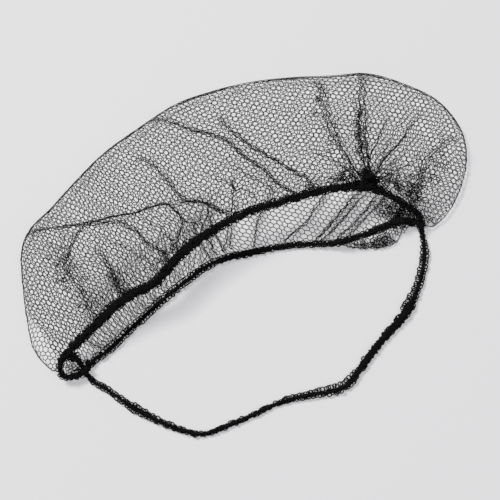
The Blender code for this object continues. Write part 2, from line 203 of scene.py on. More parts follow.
# Packed middles and windings: how much of a gather's radius hides a band's end, the length over which
# an end narrows and how narrow it gets, how unevenly a yarn is wound, in radians, and the share and the
# length of the two waves that bring it nearer and further
HIDDEN_IN_GATHER = 0.45
CORE_END = 0.002
CORE_TIP = 0.02
UNEVEN_PLACES = 40
UNEVEN_TURN = 0.8
SLOW_WAVE = (0.10, 0.0043)
QUICK_WAVE = (0.08, 0.0017)

# Rings: their two widths as shares of their size, how unevenly they stand in a row (shares of the pitch,
# radians round the band, shares of its width), and the part of a band that cover puts them on
RING_LONG = (0.85, 1.35)
RING_SHORT = (0.70, 1.05)
RING_SHIFT = 0.3
RING_TURN = 0.25
RING_SPREAD = 0.10
COVER_ALONG = (0.005, 0.995)
COVER_ROUND = (-0.15 * np.pi, 1.15 * np.pi)
HEAP_TILT = 0.1

# Loose fibres: where they stand, how deep their root is, how they lean and bend, their lengths as shares
# of the usual one, and how much thinner the tip is
FIBRES_ALONG = (0.01, 0.99)
FIBRE_TURN = 0.5
FIBRE_ROOT = 0.7
FIBRE_LEAN = 0.7
FIBRE_BEND = 0.5
FIBRE_LENGTHS = (0.4, 1.3)
FIBRE_THINS = 0.7
FIBRE_STEPS = 4

# Knots: turns of yarn, how far the turns lean round in all, how level and how high their tops are, where
# the yarn's middle lies as a share of the knot's size, and the size of the filling inside it and how high
# its rings go, as a share of half a turn
KNOT_TURNS = 19
KNOT_TURN_STEPS = 16
KNOT_LEAN = 3.3
KNOT_TIP_LEVEL = 0.5
KNOT_TIP_RISE = 0.86
KNOT_YARN_AT = 0.88
KNOT_YARN_RADIUS = 0.00055
KNOT_FILLING = 0.95
KNOT_FILLING_RISE = 0.45
KNOT_RINGS = 8
KNOT_SIDES = 12

# Sections of the bag from the rim's left end to its right end, as the solids have them.
# upper_x, lower_x: shares of RIM_SPAN from the left gather. upper_y: share of UPPER_BOW.
# upper_z, crown: shares of BAG_HEIGHT. lower_y: share of LOWER_BOW.
# back_x: share of the bag's whole length from its left side. back_y: share of BAG_DEPTH.
# roll: how far the bottom layer bulges out in front of its rim, a share of ROLL_REACH.
SECTIONS = (
    # upper_x, upper_y, upper_z, lower_x, lower_y, back_x, back_y, crown, roll
    (-0.058, 0.10, 0.20, 0.020, 0.08, 0.018, 0.06, 0.22, 0.0),
    (-0.055, 0.16, 0.24, 0.029, 0.11, 0.006, 0.12, 0.30, 0.0),
    (-0.042, 0.23, 0.28, 0.040, 0.14, 0.000, 0.20, 0.40, 0.0),
    (-0.016, 0.29, 0.34, 0.061, 0.17, 0.007, 0.29, 0.50, 0.0),
    (0.022, 0.36, 0.41, 0.099, 0.25, 0.022, 0.43, 0.62, 0.0),
    (0.064, 0.43, 0.48, 0.142, 0.38, 0.050, 0.62, 0.74, 0.0),
    (0.107, 0.50, 0.56, 0.185, 0.49, 0.086, 0.71, 0.82, 0.0),
    (0.150, 0.57, 0.63, 0.223, 0.59, 0.138, 0.76, 0.86, 0.0),
    (0.198, 0.61, 0.69, 0.262, 0.69, 0.202, 0.83, 0.90, 0.0),
    (0.255, 0.61, 0.74, 0.306, 0.79, 0.284, 0.91, 0.94, 0.0),
    (0.308, 0.71, 0.78, 0.353, 0.88, 0.373, 0.96, 0.97, 0.0),
    (0.373, 0.85, 0.81, 0.406, 0.97, 0.467, 1.00, 1.00, 0.0),
    (0.465, 0.95, 0.82, 0.468, 0.98, 0.552, 0.99, 1.00, 0.0),
    (0.567, 0.99, 0.82, 0.534, 0.88, 0.634, 0.96, 0.98, 0.0),
    (0.664, 0.94, 0.81, 0.608, 0.77, 0.721, 0.90, 0.98, 0.0),
    (0.752, 0.89, 0.80, 0.683, 0.60, 0.802, 0.83, 0.98, 0.0),
    (0.832, 0.80, 0.77, 0.749, 0.39, 0.874, 0.77, 0.95, 0.10),
    (0.903, 0.67, 0.72, 0.812, 0.27, 0.936, 0.65, 0.88, 0.55),
    (0.939, 0.49, 0.62, 0.867, 0.24, 0.984, 0.51, 0.78, 0.90),
    (0.966, 0.35, 0.49, 0.911, 0.23, 1.000, 0.34, 0.66, 1.00),
    (0.984, 0.26, 0.38, 0.938, 0.22, 0.982, 0.20, 0.52, 0.80),
    (0.994, 0.20, 0.32, 0.956, 0.20, 0.940, 0.08, 0.42, 0.50),
    (1.000, 0.16, 0.28, 0.968, 0.17, 0.893, 0.00, 0.34, 0.25),
    (1.004, 0.12, 0.25, 0.978, 0.12, 0.857, -0.03, 0.27, 0.10),
)

# Hook of the upper rim round its left end: x share of RIM_SPAN, y share of UPPER_BOW, z share of height
HOOK = (
    (-0.027, -0.02, 0.16),
    (-0.051, 0.01, 0.18),
)

# Swellings of the upper rim: where as a share of the way along the sections, growth as a share of
# UPPER_RIM_WIDTH, length as a share of the way. The first is the clump where the net gathers most.
UPPER_SWELLINGS = (
    # along, growth, length
    (0.740, 0.65, 0.025),
    (0.320, 0.12, 0.040),
    (0.520, 0.08, 0.050),
    (0.000, -0.18, 0.120),
    (1.000, -0.25, 0.070),
)

# The clump: the way in plan that its tip points, how far before the swelling's middle it stands as a
# share of the way along, and how far its foot is behind the rim and its tip behind the foot
CLUMP_HEADING = (0.30, 0.95, 0.0)
CLUMP_BEFORE = 0.003
CLUMP_FOOT = 0.0016
CLUMP_TIP = 0.0036

# What closes the hook: its bow, and its width and thickness. The net inside it: its middle from the left
# gather, the spacing of its cells and how far they stray.
HOOK_CLOSING_BOW = np.array((0.0010, 0.0, 0.0))
HOOK_CLOSING_SIZE = (0.0040, 0.0026)
HOOK_MIDDLE = np.array((-0.0068, 0.0058, -0.0010))
HOOK_NET_SPACING = 0.0021
HOOK_NET_STRAY = 0.0004

# Heaps of tangled net round the end gathers, their places from the gather's middle
LEFT_HEAPS = (
    # place, spread, rings, size, radius, seed
    (np.array((-0.0014, 0.0002, 0.0)), (0.0022, 0.0014, 0.0010), 64, 0.0021, 0.00026, 84),
    (np.array((-0.0030, 0.0106, 0.0004)), (0.0015, 0.0013, 0.0008), 50, 0.0021, 0.00030, 85),
)
RIGHT_HEAPS = (
    # place, spread, rings, size, radius, seed
    (np.zeros(3), (0.0013, 0.0014, 0.0010), 36, 0.0020, 0.00024, 86),
    (np.array((0.0046, 0.0012, -0.0010)), (0.0026, 0.0020, 0.0004), 8, 0.0028, 0.00018, 88),
)

# Route of the strap from the left gather to the right one, as the solids have it.
# x: share of RIM_SPAN, y: share of STRAP_DROP in front of the rim's ends, width: share of STRAP_WIDTH.
STRAP_ROUTE = (
    # x, y, width
    (0.005, 0.07, 0.65),
    (0.017, 0.14, 0.75),
    (0.038, 0.23, 0.95),
    (0.084, 0.46, 1.20),
    (0.144, 0.69, 0.90),
    (0.206, 0.86, 0.75),
    (0.248, 0.90, 0.70),
    (0.345, 0.91, 0.70),
    (0.449, 0.91, 0.65),
    (0.536, 0.96, 0.85),
    (0.580, 0.99, 1.00),
    (0.621, 1.00, 1.05),
    (0.661, 0.95, 0.95),
    (0.744, 0.81, 0.95),
    (0.791, 0.74, 1.10),
    (0.834, 0.68, 1.45),
    (0.872, 0.60, 1.55),
    (0.908, 0.51, 1.00),
    (0.939, 0.41, 0.85),
    (0.961, 0.32, 0.90),
    (0.981, 0.21, 0.95),
    (0.993, 0.10, 0.75),
)

# Folds of the top layer, from the back to the rim. height is a share of FOLD_HEIGHT, width and apart are
# shares of FOLD_WIDTH, and pull says how tightly the net bunches. Then come the number of bunched
# strands and the places that the fold runs through: the share along the rim, and the share of the way
# from the mouth's edge to the back. The last are fine gathers, which run to the clump and to the middle
# of the rim.
TOP_FOLDS = (
    # height, width, apart, pull, strands, places
    (0.80, 0.90, 0.00, 0.94, 5, (
        (0.240, 0.97), (0.256, 0.89), (0.271, 0.83), (0.315, 0.67), (0.373, 0.51), (0.408, 0.42),
        (0.448, 0.35), (0.462, 0.27), (0.477, 0.14), (0.466, 0.07),
    )),
    (0.50, 0.70, 0.16, 0.90, 4, ((0.430, 0.37), (0.479, 0.27), (0.506, 0.20), (0.527, 0.09), (0.546, 0.01))),
    (0.60, 0.60, 0.14, 0.88, 4, (
        (0.281, 0.34), (0.286, 0.44), (0.296, 0.50), (0.315, 0.54), (0.333, 0.54), (0.356, 0.47),
        (0.388, 0.37), (0.417, 0.18), (0.446, 0.05),
    )),
    (0.70, 1.00, 0.10, 0.84, 6, (
        (0.452, 0.93), (0.465, 0.86), (0.498, 0.68), (0.531, 0.54), (0.554, 0.40), (0.581, 0.23),
        (0.608, 0.06), (0.621, 0.01),
    )),
    (0.50, 0.80, 0.10, 0.82, 6, (
        (0.532, 0.72), (0.540, 0.64), (0.558, 0.52), (0.588, 0.35), (0.615, 0.21), (0.638, 0.08),
        (0.650, 0.00),
    )),
    (0.50, 0.80, 0.12, 0.88, 4, ((0.425, 0.74), (0.438, 0.66), (0.471, 0.40), (0.508, 0.20), (0.533, 0.05))),
    (0.80, 1.30, 0.30, 0.82, 4, (
        (0.632, 0.88), (0.640, 0.74), (0.648, 0.54), (0.669, 0.33), (0.692, 0.12), (0.712, 0.03),
    )),
    (0.70, 0.45, 0.00, 0.72, 4, (
        (0.686, 0.96), (0.689, 0.80), (0.690, 0.60), (0.691, 0.49), (0.708, 0.23), (0.731, 0.03),
    )),
    (0.60, 0.45, 0.00, 0.66, 4, ((0.697, 0.88), (0.699, 0.74), (0.704, 0.44), (0.721, 0.19), (0.733, 0.04))),
    (0.50, 0.70, 0.00, 0.86, 4, ((0.731, 0.60), (0.729, 0.50), (0.725, 0.31), (0.727, 0.14), (0.734, 0.04))),
    (0.60, 0.80, 0.00, 0.90, 5, (
        (0.771, 0.76), (0.769, 0.60), (0.767, 0.48), (0.756, 0.34), (0.744, 0.10), (0.741, 0.04),
    )),
    (0.50, 1.20, 0.25, 0.70, 3, ((0.832, 0.82), (0.831, 0.71), (0.831, 0.40), (0.850, 0.20), (0.862, 0.06))),
    (0.30, 0.80, 0.10, 0.60, 3, ((0.857, 0.46), (0.858, 0.34), (0.862, 0.16), (0.868, 0.06))),
    (0.40, 1.20, 0.30, 0.72, 3, ((0.269, 0.62), (0.263, 0.48), (0.258, 0.38), (0.248, 0.21), (0.237, 0.05))),
    (0.40, 0.80, 0.16, 0.88, 5, ((0.331, 0.38), (0.334, 0.30), (0.335, 0.20), (0.329, 0.05))),
    (0.40, 0.70, 0.00, 0.80, 4, ((0.546, 0.27), (0.547, 0.18), (0.545, 0.04))),
) + tuple(
    (0.25, 0.34, 0.04, 0.62, 2, places)
    for places in (
        ((0.628, 0.34), (0.672, 0.16), (0.708, 0.03)),
        ((0.652, 0.46), (0.688, 0.22), (0.720, 0.04)),
        ((0.708, 0.66), (0.714, 0.34), (0.730, 0.05)),
        ((0.752, 0.70), (0.744, 0.36), (0.737, 0.06)),
        ((0.792, 0.60), (0.772, 0.28), (0.744, 0.05)),
        ((0.812, 0.50), (0.786, 0.22), (0.750, 0.04)),
        ((0.838, 0.36), (0.802, 0.15), (0.760, 0.04)),
    )
) + tuple(
    (0.20, 0.26, 0.00, 0.50, 2, ((along - 0.062, 0.40), (along - 0.028, 0.20), (along, 0.04)))
    for along in (0.410, 0.440, 0.470, 0.500, 0.575, 0.595)
)

# Folds of the bottom layer, which show in the mouth. The last are fine gathers along its left.
BOTTOM_FOLDS = (
    # height, width, apart, pull, strands, places
    (0.40, 0.32, 0.05, 0.70, 5, (
        (0.690, 0.45), (0.667, 0.27), (0.652, 0.125), (0.640, 0.06), (0.628, 0.01),
    )),
    (0.50, 0.34, 0.08, 0.60, 7, (
        (0.736, 0.46), (0.721, 0.35), (0.711, 0.29), (0.704, 0.22), (0.692, 0.13), (0.682, 0.07),
        (0.676, 0.00),
    )),
    (0.40, 0.28, 0.05, 0.50, 5, (
        (0.745, 0.45), (0.725, 0.305), (0.719, 0.25), (0.708, 0.15), (0.694, 0.06), (0.686, 0.01),
    )),
    (0.40, 0.30, 0.06, 0.60, 6, (
        (0.757, 0.48), (0.747, 0.345), (0.742, 0.28), (0.728, 0.16), (0.714, 0.08), (0.706, 0.01),
    )),
    (0.30, 0.28, 0.00, 0.50, 4, ((0.768, 0.42), (0.758, 0.30), (0.744, 0.20), (0.730, 0.10), (0.722, 0.03))),
    (0.40, 0.40, 0.00, 0.75, 4, ((0.598, 0.36), (0.590, 0.22), (0.586, 0.12), (0.582, 0.01))),
    (0.30, 0.30, 0.00, 0.75, 3, ((0.552, 0.30), (0.548, 0.16), (0.544, 0.03))),
    (0.30, 0.30, 0.00, 0.75, 3, ((0.539, 0.28), (0.537, 0.14), (0.532, 0.03))),
    (0.40, 0.32, 0.00, 0.70, 4, ((0.500, 0.34), (0.512, 0.19), (0.530, 0.02))),
    (0.40, 0.32, 0.00, 0.70, 4, ((0.484, 0.34), (0.494, 0.18), (0.516, 0.02))),
    (0.30, 0.30, 0.00, 0.60, 3, ((0.466, 0.34), (0.476, 0.18), (0.500, 0.02))),
) + tuple(
    (0.15, 0.22, 0.00, 0.40, 2, ((along + 0.016, 0.40), (along + 0.008, 0.20), (along, 0.02)))
    for along in np.arange(0.115, 0.505, 0.0125)
)

# Patches of crumpled net: how many loose cells, how far to each side and how high they spread, in
# metres, then the places along the middle of the patch
TOP_CRUMPLES = (
    # cells, spread, height, places
    (60, 0.0042, 0.0006, ((0.269, 0.60), (0.262, 0.48), (0.256, 0.38), (0.248, 0.21), (0.238, 0.03))),
    (30, 0.0016, 0.0005, ((0.335, 0.20), (0.332, 0.12), (0.329, 0.03))),
    (60, 0.0036, 0.0006, ((0.640, 0.80), (0.648, 0.54), (0.669, 0.33), (0.692, 0.12), (0.710, 0.03))),
    (90, 0.0015, 0.0006, ((0.692, 0.62), (0.697, 0.46), (0.706, 0.32), (0.718, 0.17), (0.732, 0.03))),
    (70, 0.0046, 0.0006, ((0.831, 0.76), (0.831, 0.40), (0.850, 0.20), (0.862, 0.05))),
    (120, 0.0050, 0.0008, ((0.738, 0.12), (0.770, 0.12), (0.810, 0.11), (0.850, 0.09), (0.890, 0.06))),
    (60, 0.0024, 0.0008, ((0.640, 0.03), (0.680, 0.04), (0.720, 0.05))),
    (40, 0.0020, 0.0006, ((0.430, 0.05), (0.460, 0.05), (0.490, 0.04))),
)
BOTTOM_CRUMPLES = (
    # cells, spread, height, places
    (210, 0.0036, 0.0018, (
        (0.762, 0.32), (0.775, 0.31), (0.795, 0.30), (0.815, 0.30), (0.845, 0.30), (0.880, 0.27),
    )),
    (90, 0.0026, 0.0003, ((0.730, 0.05), (0.775, 0.06), (0.820, 0.065), (0.870, 0.07), (0.920, 0.07))),
)

# Places on the rims where the net is drawn together most: share along the rim, radius, pull
TOP_DRAWS = (
    # along, radius, pull
    (0.740, 0.022, 0.60),
    (0.900, 0.014, 0.35),
    (0.990, 0.010, 0.30),
    (0.120, 0.012, 0.20),
)
BOTTOM_DRAWS = (
    # along, radius, pull
    (0.840, 0.014, 0.45),
    (0.930, 0.012, 0.45),
)

# The strap: share along it, width of its packed middle, how far its middle lies to the outside, how far
# out its covering rings lie, and then how far out the rings along its sides lie and how many there are
STRAP_LACE = (
    # along, packed, outside, cover, spread, rings
    (0.00, 0.80, 0.00, 0.50, 0.40, 0.40),
    (0.04, 0.30, 0.00, 0.20, 0.38, 1.00),
    (0.08, 0.22, 0.00, 0.12, 0.28, 1.00),
    (0.11, 0.24, 0.00, 0.20, 0.34, 1.00),
    (0.13, 0.40, 0.00, 0.34, 0.62, 1.00),
    (0.15, 0.36, 0.00, 0.26, 0.44, 1.00),
    (0.18, 0.40, 0.00, 0.26, 0.34, 1.00),
    (0.22, 0.46, 0.00, 0.30, 0.36, 0.90),
    (0.28, 0.60, 0.00, 0.34, 0.30, 0.60),
    (0.44, 0.64, 0.00, 0.34, 0.34, 0.60),
    (0.50, 0.50, 0.00, 0.34, 0.60, 1.00),
    (0.56, 0.34, 0.20, 0.30, 0.78, 1.00),
    (0.61, 0.44, 0.20, 0.40, 0.84, 1.00),
    (0.66, 0.88, 0.00, 0.56, 0.66, 0.10),
    (0.73, 0.82, 0.00, 0.50, 0.58, 0.06),
    (0.78, 0.64, 0.05, 0.46, 0.56, 0.60),
    (0.82, 0.54, 0.20, 0.42, 0.60, 0.90),
    (0.86, 0.38, 0.20, 0.26, 0.60, 1.00),
    (0.90, 0.36, 0.10, 0.20, 0.76, 1.00),
    (0.94, 0.34, 0.00, 0.20, 0.60, 1.00),
    (0.97, 0.40, 0.00, 0.10, 0.26, 0.80),
    (1.00, 0.70, 0.00, 0.30, 0.30, 0.40),
)


def smooth(rows, share):
    """Reads a table at shares of its length on a Catmull-Rom curve, which passes through every row."""
    rows = np.asarray(rows, dtype=float)
    before = 2 * rows[0] - rows[1]
    after = 2 * rows[-1] - rows[-2]
    padded = np.vstack([before, rows, after])
    place = np.clip(share, 0.0, 1.0) * (len(rows) - 1)
    row = np.minimum(place.astype(int), len(rows) - 2)
    f = (place - row)[:, None]
    a, b, c, d = padded[row], padded[row + 1], padded[row + 2], padded[row + 3]
    return 0.5 * (2 * b + (c - a) * f + (2 * a - 5 * b + 4 * c - d) * f**2 + (3 * b - a - 3 * c + d) * f**3)


def unit(vectors):
    """Vectors scaled to length one; a vector of no length stays as it is."""
    return vectors / np.maximum(np.linalg.norm(vectors, axis=-1, keepdims=True), 1e-9)


def sections():
    """The sections in metres: the rim's two edges, the back outline, the crown and the roll."""
    upper_x, upper_y, upper_z, lower_x, lower_y, back_x, back_y, crown, roll = np.asarray(SECTIONS).T
    x, y = LEFT_END[0], LEFT_END[1]
    upper = np.column_stack([x + upper_x * RIM_SPAN, y + upper_y * UPPER_BOW, upper_z * BAG_HEIGHT])
    lifted = np.clip(roll * LIFT_LEAD, 0.0, 1.0)
    lower_z = LOWER_RIM_THICKNESS / 2 + ROLL_LIFT * np.sin(np.pi / 2 * lifted)
    lower = np.column_stack([x + lower_x * RIM_SPAN, y + lower_y * LOWER_BOW, lower_z])
    back = np.column_stack([x - LEFT_BULGE + back_x * BAG_LENGTH, y + back_y * BAG_DEPTH])
    return upper, lower, back, crown[:, None] * BAG_HEIGHT, roll[:, None]


def band_rows(line, width_shares, width, thickness):
    """Rows of a band: its centre line, its width and its thickness, which grows as the width's root."""
    return np.column_stack([line, width * width_shares, thickness * np.sqrt(width_shares)])


def upper_rows():
    """Rows of the upper rim: left gather, hook, sections, right gather."""
    upper = sections()[0]
    hook_x, hook_y, hook_z = np.asarray(HOOK).T
    hook_y = LEFT_END[1] + hook_y * UPPER_BOW
    hook = np.column_stack([LEFT_END[0] + hook_x * RIM_SPAN, hook_y, hook_z * BAG_HEIGHT])
    line = np.vstack([LEFT_END, hook, upper, RIGHT_END])
    before = 1 + len(HOOK)
    share = np.clip((np.arange(len(line)) - before) / (len(upper) - 1), 0.0, 1.0)
    width_shares = np.ones(len(line))
    for along, growth, length in UPPER_SWELLINGS:
        width_shares += growth * np.exp(-(((share - along) / length) ** 2))
    return band_rows(line, width_shares, UPPER_RIM_WIDTH, UPPER_RIM_THICKNESS)


def lower_rows():
    """Rows of the lower rim: left gather, sections, right gather. It narrows to its sewn ends."""
    line = np.vstack([LEFT_END, sections()[1], RIGHT_END])
    share = np.linspace(0.0, 1.0, len(line))
    width_shares = 1 - END_NARROWING * np.exp(-np.minimum(share, 1 - share) / END_TAPER)
    return band_rows(line, width_shares, LOWER_RIM_WIDTH, LOWER_RIM_THICKNESS)


def strap_rows():
    """Rows of the strap, which lies on the table between its two sewn ends."""
    x, y, shares = np.asarray(STRAP_ROUTE).T
    z = STRAP_THICKNESS * np.sqrt(shares) / 2
    line = np.column_stack([LEFT_END[0] + x * RIM_SPAN, LEFT_END[1] - y * STRAP_DROP, z])
    shares = np.concatenate([shares[:1], shares, shares[-1:]])
    return band_rows(np.vstack([LEFT_END, line, RIGHT_END]), shares, STRAP_WIDTH, STRAP_THICKNESS)


def read_sections(rows, rows_before, share):
    """Reads a rim's rows at shares of the bag's sections, which start after rows_before."""
    return smooth(rows, (rows_before + share * (len(SECTIONS) - 1)) / (len(rows) - 1))


def upper_rim_at(share):
    """The upper rim's rows at shares of the bag's sections: the hook comes before them."""
    return read_sections(upper_rows(), 1 + len(HOOK), share)


def backwards_from(line):
    """Unit directions in plan across a line, towards the back of the bag."""
    along = unit(np.gradient(line[:, :2], axis=0))
    return np.column_stack([-along[:, 1], along[:, 0]])


def back_radius(depth):
    """Radius of the fold round the back, which gets small where the bag narrows to its ends."""
    return BACK_FOLD_RADIUS * depth / (depth + BACK_FOLD_NARROWING)


def top_sections(share):
    """Sections of the top layer from the back to the middle of the upper rim.

    Each drops from the rim's height over the crown to the back on a quarter of an oval: the place in
    plan goes as the sine of a turn, and the height above the back as a power of its cosine.
    """
    back = smooth(sections()[2], share)
    edge = upper_rim_at(share)[:, :3]
    crown = smooth(sections()[3], share)
    forward = edge[:, :2] - back
    depth = np.linalg.norm(forward, axis=1)[:, None]
    back_z = NET_LIE + back_radius(depth)
    turn = np.linspace(np.pi / 2, 0.0, TURN_STEPS + 1)[None, :]
    plan = edge[:, None, :2] - forward[:, None, :] * np.sin(turn)[..., None]
    lip_z = edge[:, 2:3]
    rise = np.sin(np.minimum(2 * turn, np.pi / 2)) ** 2
    z = back_z + (lip_z + (crown - lip_z) * rise - back_z) * np.cos(turn) ** CROWN_FULLNESS
    return np.dstack([plan, z])


def bottom_sections(share):
    """Sections of the bottom layer from the back to the lower rim.

    Each turns under on a quarter circle and lies flat on the table. Where the section has a roll, it
    bulges out in front of the raised rim and turns up to the rim's underside on a Bezier curve.
    """
    rim = read_sections(lower_rows(), 1, share)
    roll = smooth(sections()[4], share)
    back = smooth(sections()[2], share)
    upper = upper_rim_at(share)
    depth = np.linalg.norm(upper[:, :2] - back, axis=1)[:, None]
    backwards = backwards_from(rim)
    front = rim[:, :2] + backwards * (rim[:, 3:4] / 2 * (1 - roll) - ROLL_REACH * roll)
    forward = front - back
    run = np.linalg.norm(forward, axis=1)[:, None]
    radius = back_radius(depth)

    under = np.linspace(0.0, np.pi / 2, UNDER_STEPS + 1)[None, :]
    under_share = radius / run * (1 - np.cos(under))
    floor_share = radius / run + (1 - radius / run) * np.linspace(0.0, 1.0, TURN_STEPS)[None, 1:]
    under_z = NET_LIE + radius * (1 - np.sin(under))
    plan = back[:, None, :] + forward[:, None, :] * np.hstack([under_share, floor_share])[..., None]
    flat = np.dstack([plan, np.hstack([under_z, np.full(floor_share.shape, NET_LIE)])])

    turn = ROLL_TURN * roll
    level = rim[:, 3:4] / 2 * np.cos(turn)
    drop = rim[:, 4:5] / 2 * np.sin(turn)
    edge = np.column_stack([rim[:, :2] + backwards * level, rim[:, 2:3] - drop])
    outwards = np.column_stack([backwards * np.cos(turn), -np.sin(turn)])
    start = flat[:, -1]
    leave = start - np.column_stack([backwards * ROLL_FRONT * roll**2, np.zeros(len(start))])
    arrive = edge + outwards * rim[:, 4:5] / 2 * roll
    f = np.linspace(0.0, 1.0, LIFT_STEPS + 1)[None, 1:, None]
    start, leave, arrive, edge = (point[:, None, :] for point in (start, leave, arrive, edge))
    rise = (1 - f) ** 3 * start + 3 * f * (1 - f) ** 2 * leave + 3 * f**2 * (1 - f) * arrive + f**3 * edge
    return np.concatenate([flat, rise], axis=1)


def evenly_spaced(section, steps):
    """One section read again at even distances along itself, and its length."""
    travelled = np.concatenate([[0.0], np.cumsum(np.linalg.norm(np.diff(section, axis=0), axis=1))])
    wanted = np.linspace(0.0, travelled[-1], steps + 1)
    return np.column_stack([np.interp(wanted, travelled, section[:, i]) for i in range(3)]), travelled[-1]


def lay_flat(make_sections, from_mouth):
    """A layer of the bag and its flat pattern: each section unrolls to a straight line in plan.

    grid has even steps from the back to the mouth. A place of the pattern is mouth plus heading times
    length times the share of the way to the back. The lines start at the mouth, or else at the back.
    """
    share = np.linspace(0.0, 1.0, SECTION_STEPS + 1)
    read = [evenly_spaced(section, DEPTH_STEPS) for section in make_sections(share)]
    grid = np.array([points for points, _ in read])
    length = np.array([size for _, size in read])[:, None]
    heading = unit(grid[:, 0, :2] - grid[:, DEPTH_STEPS // 2, :2])
    mouth = grid[:, -1, :2] if from_mouth else grid[:, 0, :2] - heading * length
    return {"grid": grid, "mouth": mouth, "heading": heading, "length": length}


def find_on_layer(layer, flat):
    """Where places of the flat pattern lie: their row on the layer, their share of the way to the back.

    A place lies between the two sections that it is to the left and to the right of. One that lies a
    little beyond the first or the last section is taken to be on it. found says whether it is on the
    layer in one of these ways.
    """
    away = flat[:, None, :] - layer["mouth"][None, :, :]
    heading = layer["heading"][None, :, :]
    side = away[..., 0] * heading[..., 1] - away[..., 1] * heading[..., 0]
    share = (away * heading).sum(axis=2) / layer["length"].T
    between = (side[:, :-1] >= 0) & (side[:, 1:] < 0)
    unlikely = np.where(between, np.abs(share[:, :-1] - 0.5), NOT_BETWEEN)
    row = unlikely.argmin(axis=1)
    number = np.arange(len(flat))
    found = unlikely[number, row] < ON_SECTION
    before, after = side[number, row], side[number, row + 1]
    f = np.clip(before / np.where(found, before - after, 1.0), 0.0, 1.0)
    place = row + f
    reach = share[number, row] * (1 - f) + share[number, row + 1] * f
    for end, last in ((0, 0), (-1, len(layer["mouth"]) - 1)):
        beyond = ~found & (np.abs(side[:, end]) < END_CELLS * NET_PITCH)
        beyond &= np.abs(share[:, end] - 0.5) < ON_END_SECTION
        place[beyond] = last
        reach[beyond] = share[beyond, end]
        found |= beyond
    return place, reach, found


def read_grid(grid, row, column):
    """Values of a grid at fractional rows and columns, straight between its points."""
    i = np.clip(row.astype(int), 0, grid.shape[0] - 2)
    j = np.clip(column.astype(int), 0, grid.shape[1] - 2)
    f = (row - i)[:, None]
    g = (column - j)[:, None]
    near = grid[i, j] * (1 - g) + grid[i, j + 1] * g
    far = grid[i + 1, j] * (1 - g) + grid[i + 1, j + 1] * g
    return near * (1 - f) + far * f


def honeycomb(low, high, pitch, turn):
    """A honeycomb over a rectangle: its corners, and six corner numbers for each cell.

    Cell middles stand on a triangular lattice, and each corner is the middle of three neighbours. The
    lattice goes far enough each way to cover the rectangle at any turn.
    """
    first = pitch * np.array((np.cos(turn), np.sin(turn)))
    second = pitch * np.array((np.cos(turn + np.pi / 3), np.sin(turn + np.pi / 3)))
    reach = int(np.ceil((high - low).sum() / pitch * LATTICE_REACH))
    i, j = np.meshgrid(np.arange(-reach, reach + 1), np.arange(-reach, reach + 1), indexing="ij")
    size = i.shape[1] - 1
    middles = (low + high) / 2 + i[..., None] * first + j[..., None] * second
    lower = middles[:-1, :-1] + (first + second) / 3
    upper = middles[:-1, :-1] + (first + second) * 2 / 3
    corners = np.stack([lower, upper], axis=2).reshape(-1, 2)
    number = (np.arange(size)[:, None] * size + np.arange(size)[None, :]) * 2
    ring = (
        number[1:, 1:],
        number[:-1, 1:] + 1,
        number[:-1, 1:],
        number[:-1, :-1] + 1,
        number[1:, :-1],
        number[1:, :-1] + 1,
    )
    cells = np.stack([part.ravel() for part in ring], axis=1)
    place = middles[1:-1, 1:-1].reshape(-1, 2)
    return keep_cells(corners, cells, ((place > low) & (place < high)).all(axis=1))


def keep_cells(corners, cells, kept):
    """The cells that are kept, and the corners that they use, renumbered."""
    used, cells = np.unique(cells[kept], return_inverse=True)
    return corners[used], cells.reshape(-1, 6)


def wander(points, size, wave, seed):
    """A smooth random shift: for each direction, a few waves of random heading, phase and length."""
    draw = np.random.default_rng(seed)
    shift = np.zeros_like(points)
    for axis in range(points.shape[1]):
        for _ in range(WANDER_WAVES):
            heading = draw.uniform(0, 2 * np.pi)
            phase = draw.uniform(0, 2 * np.pi)
            length = wave * draw.uniform(*WANDER_LENGTHS)
            front = points[:, 0] * np.cos(heading) + points[:, 1] * np.sin(heading)
            shift[:, axis] += size / 2 * np.sin(2 * np.pi * front / length + phase)
    return shift


def flat_places(layer, along, across):
    """Places of the flat pattern, from their shares along the rim and of the way to the back."""
    step = np.arange(SECTION_STEPS + 1)
    row = np.asarray(along) * SECTION_STEPS
    mouth = [np.interp(row, step, layer["mouth"][:, i]) for i in range(2)]
    way = [np.interp(row, step, (layer["heading"] * layer["length"])[:, i]) for i in range(2)]
    return np.stack(mouth, axis=-1) + np.stack(way, axis=-1) * np.asarray(across)[..., None]


def line_on_net(layer, places, steps):
    """Points of a curve on the flat pattern, at even steps of a Catmull-Rom curve through its places."""
    along, across = smooth(places, np.linspace(0.0, 1.0, steps + 1)).T
    return flat_places(layer, along, across)


def off_line(points, line):
    """The nearest place on a line of points to each point: the way to it, and how far along it lies."""
    run = np.diff(line, axis=0)
    from_start = points[:, None, :] - line[None, :-1, :]
    share = np.clip((from_start * run).sum(axis=2) / (run * run).sum(axis=1), 0.0, 1.0)
    away = from_start - share[..., None] * run
    distance = np.linalg.norm(away, axis=2)
    nearest = distance.argmin(axis=1)
    rows = np.arange(len(points))
    return away[rows, nearest], (nearest + share[rows, nearest]) / len(run)


